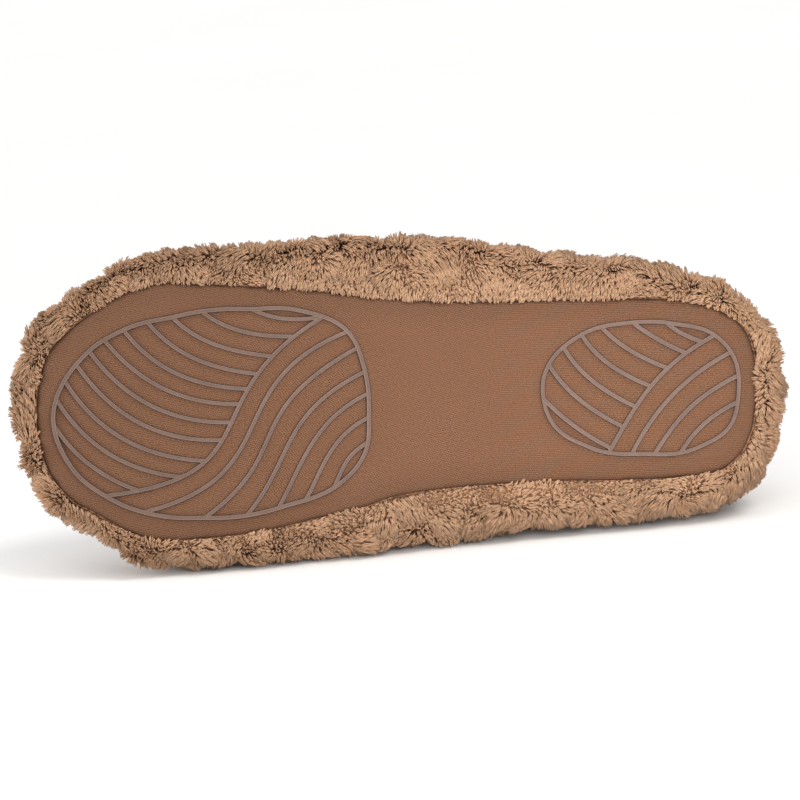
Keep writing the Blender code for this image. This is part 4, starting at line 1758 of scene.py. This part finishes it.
    def gather(self, root: np.ndarray, knee: np.ndarray, tip: np.ndarray, tone: np.ndarray,
               chance: np.random.Generator) -> tuple[np.ndarray, np.ndarray, np.ndarray]:
        """Draw the hairs together into wisps.

        Args:
            root: Where the hairs stand.
            knee: Their middles.
            tip: Their tips.
            tone: Their tones.
            chance: Source of chance.

        Returns:
            Knees, tips and tones of the gathered hairs.
        """
        leaders = chance.choice(len(root), len(root) // self.wisp_size, replace=False)
        tree = KDTree(len(leaders))
        for n, leader in enumerate(leaders):
            tree.insert(root[leader], n)
        tree.balance()
        own = leaders[[tree.find(point)[1] for point in root]]
        shift = root - root[own]
        knee = ((1 - self.knee_draw) * knee
                + self.knee_draw * (knee[own] + self.knee_keep * shift))
        tip = (1 - self.tip_draw) * tip + self.tip_draw * (tip[own] + self.tip_keep * shift)
        return knee, tip, (1 - self.tone_draw) * tone + self.tone_draw * tone[own]

    def plant(self, name: str, root: np.ndarray, knee: np.ndarray, tip: np.ndarray,
              width: np.ndarray, tone: np.ndarray, chance: np.random.Generator) -> None:
        """Make and dress one piece of hairs, each a closed spindle with a knee and a wedged tip.

        Args:
            name: Name of the piece.
            root: Where the hairs stand.
            knee: Their middles.
            tip: Their tips.
            width: Their widths.
            tone: Their tones.
            chance: Source of chance.
        """
        count = len(root)
        axis = unit(tip - root)
        side = unit(np.cross(axis, chance.normal(0, 1, (count, 3))))
        other = np.cross(axis, side)
        corners = [root]
        reach = (0.5 * width)[:, None]
        for turn in KNEE_TURNS:
            angle = math.radians(turn)
            corners.append(knee + reach * (math.cos(angle) * side + math.sin(angle) * other))
        for turn in TIP_TURNS:
            corners.append(tip + (0.5 * self.blunt * turn * width)[:, None] * side)
        points = self.pose.place(np.stack(corners, axis=1).reshape(-1, 3))
        gap = self.floor_gap + self.floor_spread * chance.random(len(points))
        points[:, 2] = np.maximum(points[:, 2], gap)
        first = HAIR_CORNERS * np.arange(count)[:, None, None]
        mesh = make_mesh(name, points, (first + np.array(HAIR_FACES)).reshape(-1, 3))
        rises = (0.0, *(self.knee for _ in KNEE_TURNS), *(1.0 for _ in TIP_TURNS))
        add_values(mesh, "rise", np.tile(rises, count))
        add_values(mesh, "tone", np.repeat(tone, HAIR_CORNERS))
        place_piece(name, mesh, PlushFinish().material())


# Studio


@dataclass(frozen=True)
class Studio:
    """Pale floor, soft light and the camera that looks square at the sole."""

    pose: LyingPose
    lens: float = 150.0
    sensor: float = 36.0
    view_width: float = 0.27298
    aim: tuple[float, float] = (0.1224, -0.0003)
    roll: float = 1.695
    floor_size: float = 16.0
    floor_colour: Colour = (240, 240, 240)
    floor_shade: Colour = (236, 236, 236)
    floor_blots_per_metre: float = 3.0
    floor_roughness: float = 0.9
    world: float = 0.84
    lamp_colour: tuple[float, float, float] = (1.0, 0.98, 0.95)
    key: float = 1.35
    key_angle: float = 24.0
    key_from: tuple[float, float, float] = (0.60, -0.50, 1.05)
    # name, watts, size, where it stands, where it shines
    lamps: tuple[tuple, ...] = (
        ("side", 0.45, 0.16, (0.085, -0.25, 0.09), (0.08, -0.02, 0.05)),
        ("toe", 0.6, 0.20, (-0.40, -0.05, 0.10), (-0.12, -0.01, 0.04)),
        ("fill", 0.5, 0.24, (0.05, -1.00, 0.13), (0.0, 0.0, 0.02)),
    )

    def build(self) -> None:
        """Make the floor, the lights and the camera."""
        self.build_floor()
        self.build_lights()
        self.build_camera()

    def build_floor(self) -> None:
        """Make the floor and its finish."""
        half = 0.5 * self.floor_size
        corners = np.array(((-half, -half, 0), (half, -half, 0), (half, half, 0), (-half, half, 0)))
        mesh = make_mesh("floor", corners, np.array(((0, 1, 2, 3),)))
        recipe = Recipe("pale_floor", self.floor_roughness)
        blot = recipe.noise(recipe.place(), self.floor_blots_per_metre)
        recipe.colour(recipe.blend(blot, self.floor_shade, self.floor_colour))
        mesh.materials.append(recipe.material)
        floor = add_object("floor", mesh)

    def build_lights(self) -> None:
        """Make the light from all round, the key light and the lamps."""
        world = bpy.data.worlds.new("studio")
        world.use_nodes = True
        back = world.node_tree.nodes["Background"]
        back.inputs["Color"].default_value = (1.0, 1.0, 1.0, 1.0)
        back.inputs["Strength"].default_value = self.world
        bpy.context.scene.world = world

        key = self.add_light("key", "SUN", self.key, Vector(self.key_from))
        key.data.angle = math.radians(self.key_angle)
        for name, watts, size, place, aim in self.lamps:
            lamp = self.add_light(name, "AREA", watts, Vector(place) - Vector(aim))
            lamp.data.shape = "DISK"
            lamp.data.size = size
            lamp.location = place

    def add_light(self, name: str, kind: str, strength: float, source: Vector) -> bpy.types.Object:
        """Add a light to the scene.

        Args:
            name: Name of the light.
            kind: Blender's name of its type.
            strength: Its strength, in watts for a lamp.
            source: Direction that it shines from.

        Returns:
            The light's object.
        """
        light = bpy.data.lights.new(name, kind)
        light.energy = strength
        light.color = self.lamp_colour
        holder = add_object(name, light)
        holder.rotation_euler = source.to_track_quat("Z", "Y").to_euler()
        return holder

    def build_camera(self) -> None:
        """Make the camera, square to the sole."""
        turn = math.radians(self.roll)
        right = self.pose.turn((-math.cos(turn), -math.sin(turn), 0.0))
        up = self.pose.turn((-math.sin(turn), math.cos(turn), 0.0))
        back = self.pose.turn((0.0, 0.0, -1.0))
        distance = self.view_width * self.lens / self.sensor
        spot = Vector(self.pose.place(np.array((*self.aim, 0.0)))) + distance * back
        data = bpy.data.cameras.new("camera")
        data.lens = self.lens
        data.sensor_width = self.sensor
        camera = add_object("camera", data)
        axes = Matrix((right, up, back)).transposed().to_4x4()
        camera.matrix_world = Matrix.Translation(spot) @ axes
        bpy.context.scene.camera = camera
        bpy.context.scene.view_settings.view_transform = "Standard"


def main() -> None:
    """Build the slipper and its studio."""
    logging.basicConfig(level=logging.INFO, format="%(name)s: %(message)s")
    plan = SolePlan()
    pose = LyingPose.of_model(plan)
    Sole(plan, pose).build()
    EdgeCord(plan, pose).build()
    for lines in (FOREFOOT_GRIP, HEEL_GRIP):
        Grip(plan, pose, lines).build()
    Upper(pose, UpperShape(plan)).build()
    Studio(pose).build()
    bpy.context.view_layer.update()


if __name__ == "__main__":
    main()
